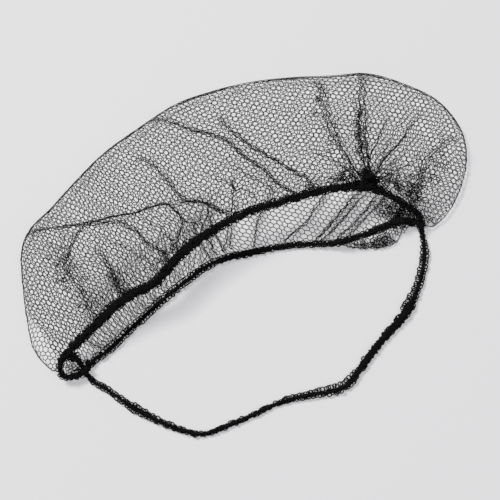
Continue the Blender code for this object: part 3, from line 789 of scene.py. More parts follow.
def fold_net(layer, flat, folds):
    """Bunches the flat net along its folds, and says how far it is raised there.

    A fold has two edges, a little way apart. The net is drawn towards each by its pull times its width
    times the hyperbolic tangent of the distance in widths, which calms down with the distance and
    fades to nothing at the fold's far end. It is raised by a bell curve of the distance.
    """
    shift = np.zeros_like(flat)
    raised = np.zeros(len(flat))
    for height, width, apart, pull, _, places in folds:
        width, apart = width * FOLD_WIDTH, apart * FOLD_WIDTH
        away, place = off_line(flat, line_on_net(layer, places, FOLD_STEPS))
        distance = np.linalg.norm(away, axis=1)
        fade = np.sin(np.pi / 2 * np.clip(place / FOLD_FADE_BACK, 0, 1))
        fade = fade * np.clip((1 - place) / FOLD_FADE_RIM, 0, 1)
        edges = np.tanh((distance - apart) / width) + np.tanh((distance + apart) / width)
        drawn = pull * width / 2 * edges * np.exp(-distance / FOLD_CALM) * fade
        shift -= away / np.maximum(distance, 1e-6)[:, None] * drawn[:, None]
        raised += height * np.exp(-((distance / (width + apart)) ** 2)) * fade
    return flat + shift, FOLD_HEIGHT * FOLD_LIMIT * np.tanh(raised / FOLD_LIMIT)


def draw_together(layer, flat, draws):
    """Draws the flat net towards places on the rim, by pull times a bell curve of the distance."""
    for along, radius, pull in draws:
        away = flat - flat_places(layer, along, 0.0)
        bell = np.exp(-((np.linalg.norm(away, axis=1) / radius) ** 2))
        flat = flat - away * (pull * bell)[:, None]
    return flat


def on_layer(layer, flat, raised):
    """Points on a layer at places of its flat pattern, raised above it."""
    row, across, _ = find_on_layer(layer, flat)
    points = read_grid(layer["grid"], row, (1 - np.clip(across, 0.0, 1.0)) * DEPTH_STEPS)
    points[:, 2] += raised
    return points


def yarn_waves(distance, lengths, draw):
    """Three waves along a yarn, each of a random length and phase, added up."""
    return sum(np.sin(2 * np.pi * (distance / draw.uniform(*lengths) + draw.uniform())) for _ in range(3))


def fold_strands(layer, folds, seed):
    """The strands that lie bunched on the edges of the folds, as thin yarns.

    Each keeps beside its edge by a few waves of random phase, strays further off at the fold's far
    end, and starts there at a place of its own.
    """
    draw = np.random.default_rng(seed)
    f = np.linspace(0.0, 1.0, BUNCH_STEPS + 1)
    loose = 1 + BUNCH_LOOSENS * (1 - f) ** 3
    paths = []
    starts = []
    for _, _, apart, _, count, places in folds:
        line = line_on_net(layer, places, BUNCH_STEPS)
        beside = backwards_from(line)
        moved, raised = fold_net(layer, line, folds)
        distance = f * np.linalg.norm(np.diff(line, axis=0), axis=1).sum()
        for number in range(count):
            side = apart * FOLD_WIDTH * (1 if number % 2 else -1)
            stray = BUNCH_STRAY * yarn_waves(distance, BUNCH_WAVES, draw) * loose
            flat = moved + beside * (side + stray)[:, None]
            paths.append(on_layer(layer, flat, raised + STRAND_THICKNESS))
            starts.append(draw.uniform(*BUNCH_STARTS))
    full = np.clip((f[None, :] - np.array(starts)[:, None]) / BUNCH_FILLS_OVER, 0.0, 1.0)
    radii = FOLD_STRAND_RADIUS * (BUNCH_THINNEST + (1 - BUNCH_THINNEST) * full)
    return tubes(np.array(paths), radii, UP)


def crumples(layer, folds, patches, seed):
    """Patches of crumpled net: loose cells spread by bell curves about each patch's middle line."""
    draw = np.random.default_rng(seed)
    centres = []
    for count, spread, height, places in patches:
        line = line_on_net(layer, places, CRUMPLE_STEPS)
        chosen = line[draw.integers(0, len(line), count)]
        flat = chosen + np.clip(draw.normal(0, 1, (count, 2)), -2, 2) * spread
        raised = fold_net(layer, flat, folds)[1]
        centres.append(on_layer(layer, flat, raised + np.abs(draw.normal(0, 1, count)) * height))
    centres = np.concatenate(centres)
    turn = draw.uniform(0, 2 * np.pi, len(centres))
    level = np.column_stack([np.cos(turn), np.sin(turn), 0 * turn])
    beside = np.column_stack([-np.sin(turn), np.cos(turn), 0 * turn])
    return rings(centres, level, beside, *CRUMPLE_RING, seed + 1, *COARSE_RING)


def strands_along(line, length, radius, stray, waves, seed):
    """Two strands along a line, each of which strays from it to every side by waves of its own."""
    draw = np.random.default_rng(seed)
    distance = np.linspace(0.0, length, len(line))
    paths = []
    for _ in range(2):
        beside = [yarn_waves(distance, waves, draw) for _ in range(3)]
        paths.append(line + stray * np.column_stack(beside))
    return tubes(np.array(paths), radius, UP)


def back_edge(layer, seed):
    """The two strands round the outline of the bag, from the rim at its left to the right gather.

    Each place of the outline is the mean of itself and its neighbours, so its corners are eased.
    """
    grid = layer["grid"]
    f = np.linspace(1 / TO_GATHER_STEPS, 1.0, TO_GATHER_STEPS)[:, None]
    to_gather = grid[-1, 0] + f * (RIGHT_END - grid[-1, 0]) + np.sin(np.pi * f) * OUTLINE_BOW
    outline = np.concatenate([grid[0, :0:-1], grid[:, 0], to_gather])
    outline, length = evenly_spaced(outline, OUTLINE_STEPS)
    padded = np.pad(outline, ((OUTLINE_SMOOTHING, OUTLINE_SMOOTHING), (0, 0)), "edge")
    neighbours = [padded[step : step + len(outline)] for step in range(2 * OUTLINE_SMOOTHING + 1)]
    outline = np.mean(neighbours, axis=0)
    return strands_along(outline, length, OUTLINE_RADIUS, OUTLINE_STRAY, OUTLINE_WAVES, seed)


def roll_front(layer, seed):
    """The strands along the front of the roll, where the bottom layer bulges out beyond its rim."""
    start, end = (int(share * SECTION_STEPS) for share in ROLL_SEEN)
    forward = -layer["heading"][start:end]
    rows = layer["grid"][start:end, DEPTH_STEPS // 2 :]
    front = (rows[..., :2] * forward[:, None, :]).sum(axis=2).argmax(axis=1)
    line, length = evenly_spaced(rows[np.arange(end - start), front], ROLL_STEPS)
    return strands_along(line, length, ROLL_STRAND_RADIUS, ROLL_STRAY, ROLL_WAVES, seed)


def gathered_to_left(flat, start, over, narrower, longer):
    """The flat net with its left gathered: cells get narrower along the heading and longer across it.

    The share of the gathering goes from none to all as a smooth step of the distance along the
    heading. The shift along it is that step's integral, and the shift across it its product.
    """
    along = np.array((np.cos(GATHER_HEADING), np.sin(GATHER_HEADING)))
    beside = np.array((-along[1], along[0]))
    beyond = (start - flat @ along) / over
    share = 1 / (1 + np.exp(-beyond))
    shift_along = narrower * over * np.logaddexp(0.0, beyond)
    shift_beside = longer * share * (flat @ beside)
    return flat + shift_along[:, None] * along + shift_beside[:, None] * beside


def bent_honeycomb(layer, turn, radius, margin):
    """A honeycomb over a layer's flat pattern, its rows running round a middle in front of the cover.

    A place x along and y beyond the radius goes to the angle x / radius at the distance radius + y.
    """
    middle = NET_TRUE_PLACE - np.array((0.0, radius))
    reach = layer["heading"] * layer["length"]
    pattern = np.concatenate([layer["mouth"], layer["mouth"] + reach]) - middle
    angle = np.arctan2(pattern[:, 0], pattern[:, 1])
    extent = np.column_stack([angle * radius, np.linalg.norm(pattern, axis=1) - radius])
    low = extent.min(axis=0) - margin
    corners, cells = honeycomb(low, extent.max(axis=0) + margin, NET_PITCH, turn)
    angle = corners[:, 0] / radius
    rays = np.column_stack([np.sin(angle), np.cos(angle)])
    return middle + rays * (radius + corners[:, 1:]), cells


def pleat(layer, row, across, seed):
    """Small pleats near the rim: the rows bunch by a sine along the rim, which fades with the distance.

    Gives the new rows, how far the net is raised where they bunch, and how far it is to the rim. The
    sine's beat strays a little from place to place.
    """
    to_rim = across * np.interp(row, np.arange(SECTION_STEPS + 1), layer["length"][:, 0])
    step = np.linalg.norm(np.gradient(layer["grid"][:, :, :2], axis=0), axis=2)
    column = (1 - across) * DEPTH_STEPS
    spacing = PLEAT_SPACING / np.maximum(read_grid(step[..., None], row, column)[:, 0], 1e-5)
    travelled = np.interp(row, np.arange(SECTION_STEPS + 1), np.cumsum(step[:, -1])) / PLEAT_SPACING
    place = np.column_stack([row, across]) * PLEAT_STRAY_PLACE
    beat = 2 * np.pi * (travelled + wander(place, PLEAT_STRAY, PLEAT_STRAY_WAVE, seed)[:, 0])
    near_rim = np.exp(-to_rim / PLEAT_REACH)
    moved = np.clip(row + PLEAT_PULL * near_rim * np.sin(beat) * spacing / (2 * np.pi), 0, SECTION_STEPS)
    lift = PLEAT_HEIGHT * near_rim * (1 - np.cos(beat)) / 2 * np.minimum(to_rim / PLEAT_RAISED_FROM, 1)
    return moved, lift, to_rim


def laid_net(layer, flat, cells, draws, folds, seed):
    """A layer's net: the points of its corners, and the corner numbers of its cells.

    The honeycomb strays, gathers and folds as a flat pattern, is cut to the layer's outline, and is
    then laid on the layer. Cells that have been drawn shut are left out.
    """
    flat = draw_together(layer, flat + wander(flat, STRAY, STRAY_WAVE, seed), draws)
    flat, raised = fold_net(layer, flat, folds)
    row, across, found = find_on_layer(layer, flat)
    inside = found & (across > 0) & (across < 1)
    kept = found[cells].all(axis=1) & (inside[cells].sum(axis=1) >= 3)
    placed, cells = keep_cells(np.column_stack([row, across, raised]), cells, kept)
    row, across, raised = placed.T
    across = np.clip(across, 0.0, 1.0)
    row, lift, to_rim = pleat(layer, row, across, seed + 1)
    points = read_grid(layer["grid"], row, (1 - across) * DEPTH_STEPS)
    points[:, 2] += lift + raised * np.minimum(to_rim / FOLD_RAISED_FROM, 1)
    ring = points[cells]
    side = np.roll(ring, -1, axis=1) - ring
    corners = np.cross(ring - ring.mean(axis=1, keepdims=True), side)
    area = np.linalg.norm(corners, axis=2).sum(axis=1) / 2
    shortest = np.linalg.norm(side, axis=2).min(axis=1)
    open_cells = (area > SHUT_AREA * NET_PITCH**2) & (shortest > SHUT_SIDE * NET_PITCH)
    return keep_cells(points, cells, open_cells)


def strands(points, cells, width, thickness):
    """The strands of a net round its cells: a strand is a long diamond in section.

    Its upper and lower ridges run through the corners, raised and lowered along the net's normal. Its
    sides are the edges of the holes: each cell drawn in by half the strand's width on every side, but
    at most NEAREST_MIDDLE of the way to its middle.
    """
    ring = points[cells]
    middle = ring.mean(axis=1, keepdims=True)
    after = np.roll(ring, -1, axis=1)
    before = np.roll(ring, 1, axis=1)
    cell_normal = np.cross(ring - middle, after - middle).sum(axis=1)
    normal = np.zeros_like(points)
    np.add.at(normal, cells.ravel(), np.repeat(cell_normal, 6, axis=0))
    normal = unit(normal)

    here = normal[cells]
    inwards_before = np.cross(here, unit(ring - before))
    inwards_after = np.cross(here, unit(after - ring))
    together = (inwards_before * inwards_after).sum(axis=2, keepdims=True)
    inset = (inwards_before + inwards_after) * (width / 2) / np.maximum(1 + together, SHARPEST_CORNER)
    to_middle = middle - ring
    most = NEAREST_MIDDLE * np.linalg.norm(to_middle, axis=2, keepdims=True)
    size = np.linalg.norm(inset, axis=2, keepdims=True)
    inset = np.where(size > most, unit(to_middle) * most, inset)
    sides = (ring + inset).reshape(-1, 3)

    upper = points + normal * thickness / 2
    lower = points - normal * thickness / 2
    here = cells.ravel()
    there = np.roll(cells, -1, axis=1).ravel()
    count = len(points)
    side = 2 * count + np.arange(cells.size).reshape(cells.shape)
    side_there = np.roll(side, -1, axis=1).ravel()
    side = side.ravel()
    over = np.column_stack([here, there, side_there, side])
    under = np.column_stack([there + count, here + count, side, side_there])
    edge = here.astype(np.int64) * count + there
    reverse = there.astype(np.int64) * count + here
    open_edge = ~np.isin(reverse, edge)
    a, b = here[open_edge], there[open_edge]
    rim = np.column_stack([b, a, a + count, b + count])
    return np.concatenate([upper, lower, sides]), np.concatenate([over, under, rim]).tolist()


def add_object(name, data):
    """A new object in the scene."""
    thing = bpy.data.objects.new(name, data)
    bpy.context.scene.collection.objects.link(thing)
    return thing


def add_piece(name, surface, material, node, shades=True):
    """A finished piece from its points and faces, smooth shaded, riding on the one body.

    Only the top layer of net doesn't shade the table, so that its holes look as bright as the table.
    """
    points, faces = surface
    points[:, 2] = np.maximum(points[:, 2], LOWEST_POINT)
    mesh = bpy.data.meshes.new(name)
    mesh.from_pydata(points.tolist(), [], faces)
    mesh.validate()
    mesh.shade_smooth()
    mesh.materials.append(material)
    piece = add_object(name, mesh)
    piece.visible_shadow = shades
    piece.visible_diffuse = shades
    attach(piece, "root")
    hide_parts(node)


def tube_faces(number, closed=False):
    """Four-cornered faces over a tube's point numbers, whose last axis runs round the tube.

    The axis before it runs along the tube. It joins its end to its start, or has a face at each end.
    """
    sides = number.shape[-1]
    beside = np.roll(number, -1, axis=-1)
    if closed:
        corners = (number, beside, np.roll(beside, -1, axis=-2), np.roll(number, -1, axis=-2))
    else:
        corners = (number[..., :-1, :], beside[..., :-1, :], beside[..., 1:, :], number[..., 1:, :])
    faces = np.stack([corner.ravel() for corner in corners], axis=1).tolist()
    if not closed:
        faces += number[..., 0, ::-1].reshape(-1, sides).tolist()
        faces += number[..., -1, :].reshape(-1, sides).tolist()
    return faces


def tubes(paths, radii, reference, sides=YARN_SIDES, closed=False):
    """Yarns along many paths at once: a ring of points round each path point, joined to the next.

    reference is a direction that is never along the path. A closed path joins its end to its start,
    and an open one has flat ends.
    """
    count, steps = paths.shape[:2]
    if closed:
        heading = unit(np.roll(paths, -1, axis=1) - np.roll(paths, 1, axis=1))
    else:
        heading = unit(np.gradient(paths, axis=1))
    sideways = unit(np.cross(heading, reference))
    upwards = np.cross(heading, sideways)
    turn = (np.arange(sides) + 0.5) * 2 * np.pi / sides
    offset = sideways[:, :, None] * np.cos(turn)[:, None] + upwards[:, :, None] * np.sin(turn)[:, None]
    points = paths[:, :, None] + offset * np.broadcast_to(radii, (count, steps))[:, :, None, None]
    number = np.arange(count * steps * sides).reshape(count, steps, sides)
    return points.reshape(-1, 3), tube_faces(number, closed)


def join(*parts):
    """Several lots of points and faces as one."""
    points, faces, before = [], [], 0
    for part_points, part_faces in parts:
        points.append(part_points)
        faces += [[number + before for number in face] for face in part_faces]
        before += len(part_points)
    return np.concatenate(points), faces


def band(rows):
    """A band's line read at even shares between the end gathers, with its directions and sizes."""
    line = smooth(rows, np.linspace(0.0, 1.0, BAND_SAMPLES))
    from_ends = [np.linalg.norm(line[:, :3] - end, axis=1) for end in (LEFT_END, RIGHT_END)]
    line = line[np.minimum(*from_ends) > GATHER_RADIUS * HIDDEN_IN_GATHER]
    centre = line[:, :3]
    centre[:, 2] = np.maximum(centre[:, 2], line[:, 4] / 2)
    distance = np.concatenate([[0.0], np.cumsum(np.linalg.norm(np.diff(centre, axis=0), axis=1))])
    heading = unit(np.gradient(centre, axis=0))
    side = unit(np.column_stack([-heading[:, 1], heading[:, 0], np.zeros(len(heading))]))
    return {
        "distance": distance,
        "centre": centre,
        "heading": heading,
        "side": side,
        "up": np.cross(heading, side),
        "width": line[:, 3:4],
        "thickness": line[:, 4:5],
    }


def read_band(line, name, distance):
    """One of a band's values at distances along it."""
    return np.stack([np.interp(distance, line["distance"], values) for values in line[name].T], -1)


def on_band(line, distance, angle, spread):
    """Points round a band's oval section: centre, plus spread times half its width and thickness."""
    across = np.cos(angle)[..., None] * read_band(line, "width", distance) / 2
    rise = np.sin(angle)[..., None] * read_band(line, "thickness", distance) / 2
    sideways = read_band(line, "side", distance) * across + read_band(line, "up", distance) * rise
    return read_band(line, "centre", distance) + sideways * np.asarray(spread)[..., None]


def read_shares(rows, line, distance):
    """Values at distances along a band, from rows of the share along it and the value, or one value."""
    shares, values = np.asarray(rows if np.ndim(rows) else ((0.0, rows), (1.0, rows))).T
    return np.interp(distance / line["distance"][-1], shares, values)


def moved_aside(line, rows):
    """A band with its centre line moved to its left, by rows of the share along and of half its width."""
    shares = read_shares(rows, line, line["distance"])[:, None]
    return {**line, "centre": line["centre"] + line["side"] * line["width"] / 2 * shares}


def core(line, spread, sides, ribs, rib_depth, seed):
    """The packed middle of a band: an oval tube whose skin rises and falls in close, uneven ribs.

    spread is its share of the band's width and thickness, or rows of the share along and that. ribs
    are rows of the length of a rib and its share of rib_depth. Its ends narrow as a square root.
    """
    draw = np.random.default_rng(seed)
    length = line["distance"][-1]
    steps = int(length / CORE_STEP)
    distance = np.linspace(0.0, length, steps)[:, None]
    angle = (np.arange(sides) * 2 * np.pi / sides)[None, :]
    relief = np.zeros((steps, sides))
    for wave, share in ribs:
        for _ in range(2):
            lean = draw.integers(-2, 3)
            phase = draw.uniform(0, 2 * np.pi)
            relief += share / 2 * np.sin(2 * np.pi * distance / wave + lean * angle + phase)
    ends = np.clip(np.minimum(distance, length - distance) / CORE_END, CORE_TIP, 1.0) ** 0.5
    swell = read_shares(spread, line, distance) * (1 + rib_depth * relief) * ends
    points = on_band(line, distance + 0 * angle, angle + 0 * distance, swell)
    return points.reshape(-1, 3), tube_faces(np.arange(steps * sides).reshape(steps, sides))


def wound(line, spread, pitch, close, radius, seed):
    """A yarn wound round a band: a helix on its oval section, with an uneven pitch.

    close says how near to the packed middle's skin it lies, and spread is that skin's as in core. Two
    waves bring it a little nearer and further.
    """
    length = line["distance"][-1]
    distance = np.linspace(0.0, length, int(length / abs(pitch) * WINDING_STEPS))
    draw = np.random.default_rng(seed)
    places = np.linspace(0, length, UNEVEN_PLACES)
    uneven = np.interp(distance, places, draw.uniform(-UNEVEN_TURN, UNEVEN_TURN, UNEVEN_PLACES))
    angle = 2 * np.pi * distance / pitch + uneven
    (slow, slow_length), (quick, quick_length) = SLOW_WAVE, QUICK_WAVE
    wobble = 1 + slow * np.sin(distance / slow_length + seed) + quick * np.sin(distance / quick_length)
    path = on_band(line, distance, angle, read_shares(spread, line, distance) * close * wobble)
    outwards = unit(path - read_band(line, "centre", distance))
    return tubes(path[None], radius, outwards[None])


def packed_yarn(line, spread, sides, ribs, rib_depth, seed, windings):
    """A band's packed middle with the yarns wound round it: rows of pitch, close, radius and seed."""
    middle = core(line, spread, sides, ribs, rib_depth, seed)
    return join(middle, *(wound(line, spread, *winding) for winding in windings))


def rings(centre, first, second, size, radius, tilt, seed, steps=10, sides=YARN_SIDES):
    """Small closed meshes of net: ovals in the plane of two directions, which tilt at random."""
    draw = np.random.default_rng(seed)
    count = len(centre)
    first = unit(first + draw.normal(0, tilt, (count, 3)))
    normal = unit(np.cross(first, second + draw.normal(0, tilt, (count, 3))))
    second = np.cross(normal, first)
    turn = np.arange(steps) * 2 * np.pi / steps
    long = (size * draw.uniform(*RING_LONG, count))[:, None, None] / 2
    short = (size * draw.uniform(*RING_SHORT, count))[:, None, None] / 2
    path = centre[:, None, :] + np.cos(turn)[None, :, None] * first[:, None, :] * long
    path = path + np.sin(turn)[None, :, None] * second[:, None, :] * short
    path[..., 2] = np.maximum(path[..., 2], radius)
    return tubes(path, radius, normal[:, None, :], sides, True)


def edge_rings(line, angle, spread, pitch, size, radius, tilt, seed, weights=1.0):
    """A row of rings along one edge of a band, a pitch apart, nearly flat and a little uneven.

    weights are the share of the rings that are there, or rows of the share along and that. spread is
    as in core.
    """
    draw = np.random.default_rng(seed)
    count = int(line["distance"][-1] / pitch)
    distance = (np.arange(count) + 0.5 + draw.uniform(-RING_SHIFT, RING_SHIFT, count)) * pitch
    distance = distance[draw.uniform(0, 1, count) < read_shares(weights, line, distance)]
    count = len(distance)
    angles = angle + draw.normal(0, RING_TURN, count)
    spreads = read_shares(spread, line, distance) + draw.normal(0, RING_SPREAD, count)
    centre = on_band(line, distance, angles, spreads)
    heading, side = (read_band(line, name, distance) for name in ("heading", "side"))
    return rings(centre, heading, side, size, radius, tilt, seed + 1)


def cover(line, spread, count, size, radius, tilt, seed, weights=1.0):
    """Loops of gathered net that lie on a band's upper skin, every way round and a little tilted.

    spread and weights are as in edge_rings.
    """
    draw = np.random.default_rng(seed)
    distance = draw.uniform(*COVER_ALONG, count) * line["distance"][-1]
    distance = distance[draw.uniform(0, 1, count) < read_shares(weights, line, distance)]
    count = len(distance)
    angle = draw.uniform(*COVER_ROUND, count)
    centre = on_band(line, distance, angle, read_shares(spread, line, distance))
    outwards = unit(centre - read_band(line, "centre", distance))
    heading = read_band(line, "heading", distance)
    beside = np.cross(outwards, heading)
    turn = draw.uniform(0, np.pi, count)[:, None]
    first = heading * np.cos(turn) + beside * np.sin(turn)
    return rings(centre, first, np.cross(outwards, first), size, radius, tilt, seed + 1, *COARSE_RING)


def heap(centre, spread, count, size, radius, seed):
    """A heap of tangled rings: their centres are spread by bell curves, and they lean every way."""
    draw = np.random.default_rng(seed)
    place = centre + np.clip(draw.normal(0, 1, (count, 3)), -2, 2) * spread
    first = draw.normal(0, 1, (count, 3))
    second = draw.normal(0, 1, (count, 3))
    return rings(place, first, second, size, radius, HEAP_TILT, seed + 1)


def fibres(line, angles, count, length, radius, seed):
    """Loose fibre ends along a band: short hairs that bend as a square and thin out to their tips."""
    draw = np.random.default_rng(seed)
    distance = draw.uniform(*FIBRES_ALONG, count) * line["distance"][-1]
    angle = draw.choice(angles, size=count) + draw.normal(0, FIBRE_TURN, count)
    base = on_band(line, distance, angle, np.full(count, FIBRE_ROOT))
    outwards = unit(base - read_band(line, "centre", distance))
    lean = unit(outwards + FIBRE_LEAN * draw.normal(0, 1, (count, 3)))
    bend = FIBRE_BEND * draw.normal(0, 1, (count, 3))
    f = np.linspace(0.0, 1.0, FIBRE_STEPS + 1)[None, :, None]
    reach = (length * draw.uniform(*FIBRE_LENGTHS, count))[:, None, None]
    path = base[:, None, :] + reach * (lean[:, None, :] * f + bend[:, None, :] * f**2 / 2)
    path[..., 2] = np.maximum(path[..., 2], radius)
    across = unit(np.cross(lean, bend))[:, None, :]
    return tubes(path, radius * (1 - FIBRE_THINS * f[..., 0]), across)


def knot(centre, half_sizes, first_lean):
    """A sewn gather: yarn wound round and round a flattened ball, its turns leaning every way.

    The yarn follows great circles whose lean goes round as it winds. A smaller closed ball fills it.
    """
    turn = np.linspace(0.0, 2 * np.pi * KNOT_TURNS, KNOT_TURNS * KNOT_TURN_STEPS)
    lean = turn / KNOT_TURNS * KNOT_LEAN + first_lean
    first = np.column_stack([np.cos(lean), np.sin(lean), np.zeros(len(turn))])
    flat = np.column_stack([-np.sin(lean), np.cos(lean)]) * KNOT_TIP_LEVEL
    second = np.column_stack([flat, np.full(len(turn), KNOT_TIP_RISE)])
    size = np.array(half_sizes) * KNOT_YARN_AT
    ball = first * np.cos(turn)[:, None] + second * np.sin(turn)[:, None]
    yarn = tubes((centre + ball * size)[None], KNOT_YARN_RADIUS, unit(ball / size)[None])
    rise = np.linspace(-KNOT_FILLING_RISE, KNOT_FILLING_RISE, KNOT_RINGS) * np.pi
    rise, around = np.meshgrid(rise, np.arange(KNOT_SIDES) * 2 * np.pi / KNOT_SIDES, indexing="ij")
    filling = np.stack([np.cos(rise) * np.cos(around), np.cos(rise) * np.sin(around), np.sin(rise)], -1)
    points = centre + filling.reshape(-1, 3) * size * KNOT_FILLING
    return join(yarn, (points, tube_faces(np.arange(rise.size).reshape(rise.shape))))


def set_inputs(node, inputs):
    """Sets a node's inputs, which are given by name or number."""
    for name, value in inputs:
        node.inputs[name].default_value = value


def add_node(tree, kind, inputs=()):
    """A new node of a tree, with its inputs set."""
    node = tree.nodes.new(kind)
    set_inputs(node, inputs)
    return node


def add_material(name, inputs):
    """A new material with a Principled shader whose inputs are set, and that shader."""
    material = bpy.data.materials.new(name)
    material.use_nodes = True
    shader = material.node_tree.nodes["Principled BSDF"]
    set_inputs(shader, inputs)
    return material, shader


def fibre_grain():
    """The grain of dyed yarn: a fine noise and a coarse one, for shade, roughness and height.

    The shade goes from dark to light by half of each noise, added up. The fine one alone gives the
    roughness and the height.
    """
    group = bpy.data.node_groups.new("fibre_grain", "ShaderNodeTree")
    for way, kind, names in (
        ("INPUT", "NodeSocketFloat", ("Fineness",)),
        ("INPUT", "NodeSocketColor", ("Dark", "Light")),
        ("INPUT", "NodeSocketFloat", ("Smoothest", "Roughest")),
        ("OUTPUT", "NodeSocketColor", ("Colour",)),
        ("OUTPUT", "NodeSocketFloat", ("Roughness", "Height")),
    ):
        for name in names:
            group.interface.new_socket(name=name, in_out=way, socket_type=kind)
    inputs = add_node(group, "NodeGroupInput")
    outputs = add_node(group, "NodeGroupOutput")
    place = add_node(group, "ShaderNodeTexCoord")
    coarse = add_node(group, "ShaderNodeTexNoise", (("Scale", 90.0), ("Detail", 3.0)))
    fine = add_node(group, "ShaderNodeTexNoise", (("Detail", 4.0), ("Roughness", 0.65)))
    both = add_node(group, "ShaderNodeMath", ((1, 0.5),))
    both.operation = "MULTIPLY_ADD"
    half = add_node(group, "ShaderNodeMath", ((1, 0.5),))
    half.operation = "MULTIPLY"
    shade = add_node(group, "ShaderNodeMix")
    shade.data_type = "RGBA"
    dull = add_node(group, "ShaderNodeMapRange")
    for source, output, goal, goal_input in (
        (place, "Object", coarse, "Vector"),
        (place, "Object", fine, "Vector"),
        (inputs, "Fineness", fine, "Scale"),
        (coarse, "Fac", both, 0),
        (fine, "Fac", half, 0),
        (half, "Value", both, 2),
        (both, "Value", shade, "Factor"),
        (inputs, "Dark", shade, "A"),
        (inputs, "Light", shade, "B"),
        (fine, "Fac", dull, "Value"),
        (inputs, "Smoothest", dull, "To Min"),
        (inputs, "Roughest", dull, "To Max"),
        (shade, "Result", outputs, "Colour"),
        (dull, "Result", outputs, "Roughness"),
        (fine, "Fac", outputs, "Height"),
    ):
        group.links.new(source.outputs[output], goal.inputs[goal_input])
    return group


def yarn_material(name, grain, fineness, dark, light, roughness, bump, sheen):
    """Black yarn: the shared grain with its own colours, roughness, bump and sheen."""
    finish = (
        ("Specular IOR Level", YARN_SPECULAR),
        ("Sheen Weight", sheen),
        ("Sheen Roughness", YARN_SHEEN_ROUGHNESS),
    )
    material, shader = add_material(name, finish)
    material.diffuse_color = (*dark, 1.0)
    tree = material.node_tree
    texture = add_node(tree, "ShaderNodeGroup")
    texture.node_tree = grain
    look = (
        ("Fineness", fineness),
        ("Dark", (*dark, 1.0)),
        ("Light", (*light, 1.0)),
        ("Smoothest", roughness[0]),
        ("Roughest", roughness[1]),
    )
    set_inputs(texture, look)
    raised = add_node(tree, "ShaderNodeBump", (("Distance", bump), ("Strength", YARN_BUMP_STRENGTH)))
    tree.links.new(texture.outputs["Height"], raised.inputs["Height"])
    tree.links.new(raised.outputs["Normal"], shader.inputs["Normal"])
    tree.links.new(texture.outputs["Colour"], shader.inputs["Base Color"])
    tree.links.new(texture.outputs["Roughness"], shader.inputs["Roughness"])
    return material


# The three yarns: fineness of the grain, dark and light, smoothest and roughest, bump and sheen
YARNS = {
    "net_yarn": (2600.0, (0.003, 0.003, 0.0035), (0.010, 0.010, 0.011), (0.45, 0.70), 0.00004, 0.04),
    "elastic_yarn": (1500.0, (0.002, 0.002, 0.0025), (0.006, 0.006, 0.0065), (0.70, 0.95), 0.00012, 0.03),
    "lace_yarn": (2600.0, (0.003, 0.003, 0.0035), (0.009, 0.009, 0.0095), (0.50, 0.80), 0.00005, 0.04),
}
YARN_SPECULAR = 0.10
YARN_SHEEN_ROUGHNESS = 0.5
YARN_BUMP_STRENGTH = 0.6

# Camera: the photograph looks down on the cover from the front, at 75 degrees, turned 24 to its left
VIEW_TURN = np.radians(24)
VIEW_RISE = np.radians(75)
VIEW_DISTANCE = 0.720
VIEW_TARGET = np.array((0.00867, 0.02708, 0.005))
LENS = 86.4
SENSOR = 36.0

# Light: each lamp's place to the right, away and up, its side, watts and colour, then the pale room,
# and the table, which glows a little itself
LAMPS = {
    "soft_key": ((-2.5, 1.9, 3.4), 1.5, 174.0, (1.0, 0.985, 0.955)),
    "soft_fill": ((1.4, -0.9, 1.8), 1.2, 6.0, (0.94, 0.96, 1.0)),
}
ROOM_COLOUR = (0.86, 0.89, 1.0, 1.0)
ROOM_LIGHT = 0.16
TABLE_HALF = 1.5
TABLE_PAINT = (
    ("Base Color", (0.42, 0.42, 0.42, 1.0)),
    ("Roughness", 0.9),
    ("Specular IOR Level", 0.1),
    ("Emission Color", (0.98, 0.98, 1.0, 1.0)),
    ("Emission Strength", 0.42),
)


def aim(thing, place, target):
    """Puts a camera or a lamp at its place, and turns it to its target."""
    thing.location = Vector(place)
    thing.rotation_euler = Vector(target - place).to_track_quat("-Z", "Y").to_euler()


def make_camera():
    """The camera at the photograph's angle, and the ways right and back of its picture in plan."""
    right = np.array((np.cos(VIEW_TURN), -np.sin(VIEW_TURN), 0.0))
    away = np.array((np.sin(VIEW_TURN), np.cos(VIEW_TURN), 0.0))
    between_ends = (LEFT_END + RIGHT_END) / 2 * np.array((1.0, 1.0, 0.0))
    target = between_ends + VIEW_TARGET
    place = target - away * VIEW_DISTANCE * np.cos(VIEW_RISE) + UP * VIEW_DISTANCE * np.sin(VIEW_RISE)
    camera_data = bpy.data.cameras.new("camera")
    camera_data.lens = LENS
    camera_data.sensor_width = SENSOR
    camera_data.clip_end = 10.0
    camera = add_object("camera", camera_data)
    aim(camera, place, target)
    bpy.context.scene.camera = camera
    return right, away


def add_light(name, place, size, power, colour):
    """A square soft light that faces the middle of the cover."""
    light_data = bpy.data.lights.new(name, "AREA")
    light_data.shape = "SQUARE"
    light_data.size = size
    light_data.energy = power
    light_data.color = colour
    aim(add_object(name, light_data), place, np.zeros(3))


def make_table():
    """The pale table top. It glows a little, as a light table does, so the net's shadow stays faint."""
    mesh = bpy.data.meshes.new("table_top")
    corners = [(x * TABLE_HALF, y * TABLE_HALF, 0.0) for x, y in ((-1, -1), (1, -1), (1, 1), (-1, 1))]
    mesh.from_pydata(corners, [], [(0, 1, 2, 3)])
    table = add_object("table_top", mesh)
    mesh.materials.append(add_material("table_paint", TABLE_PAINT)[0])


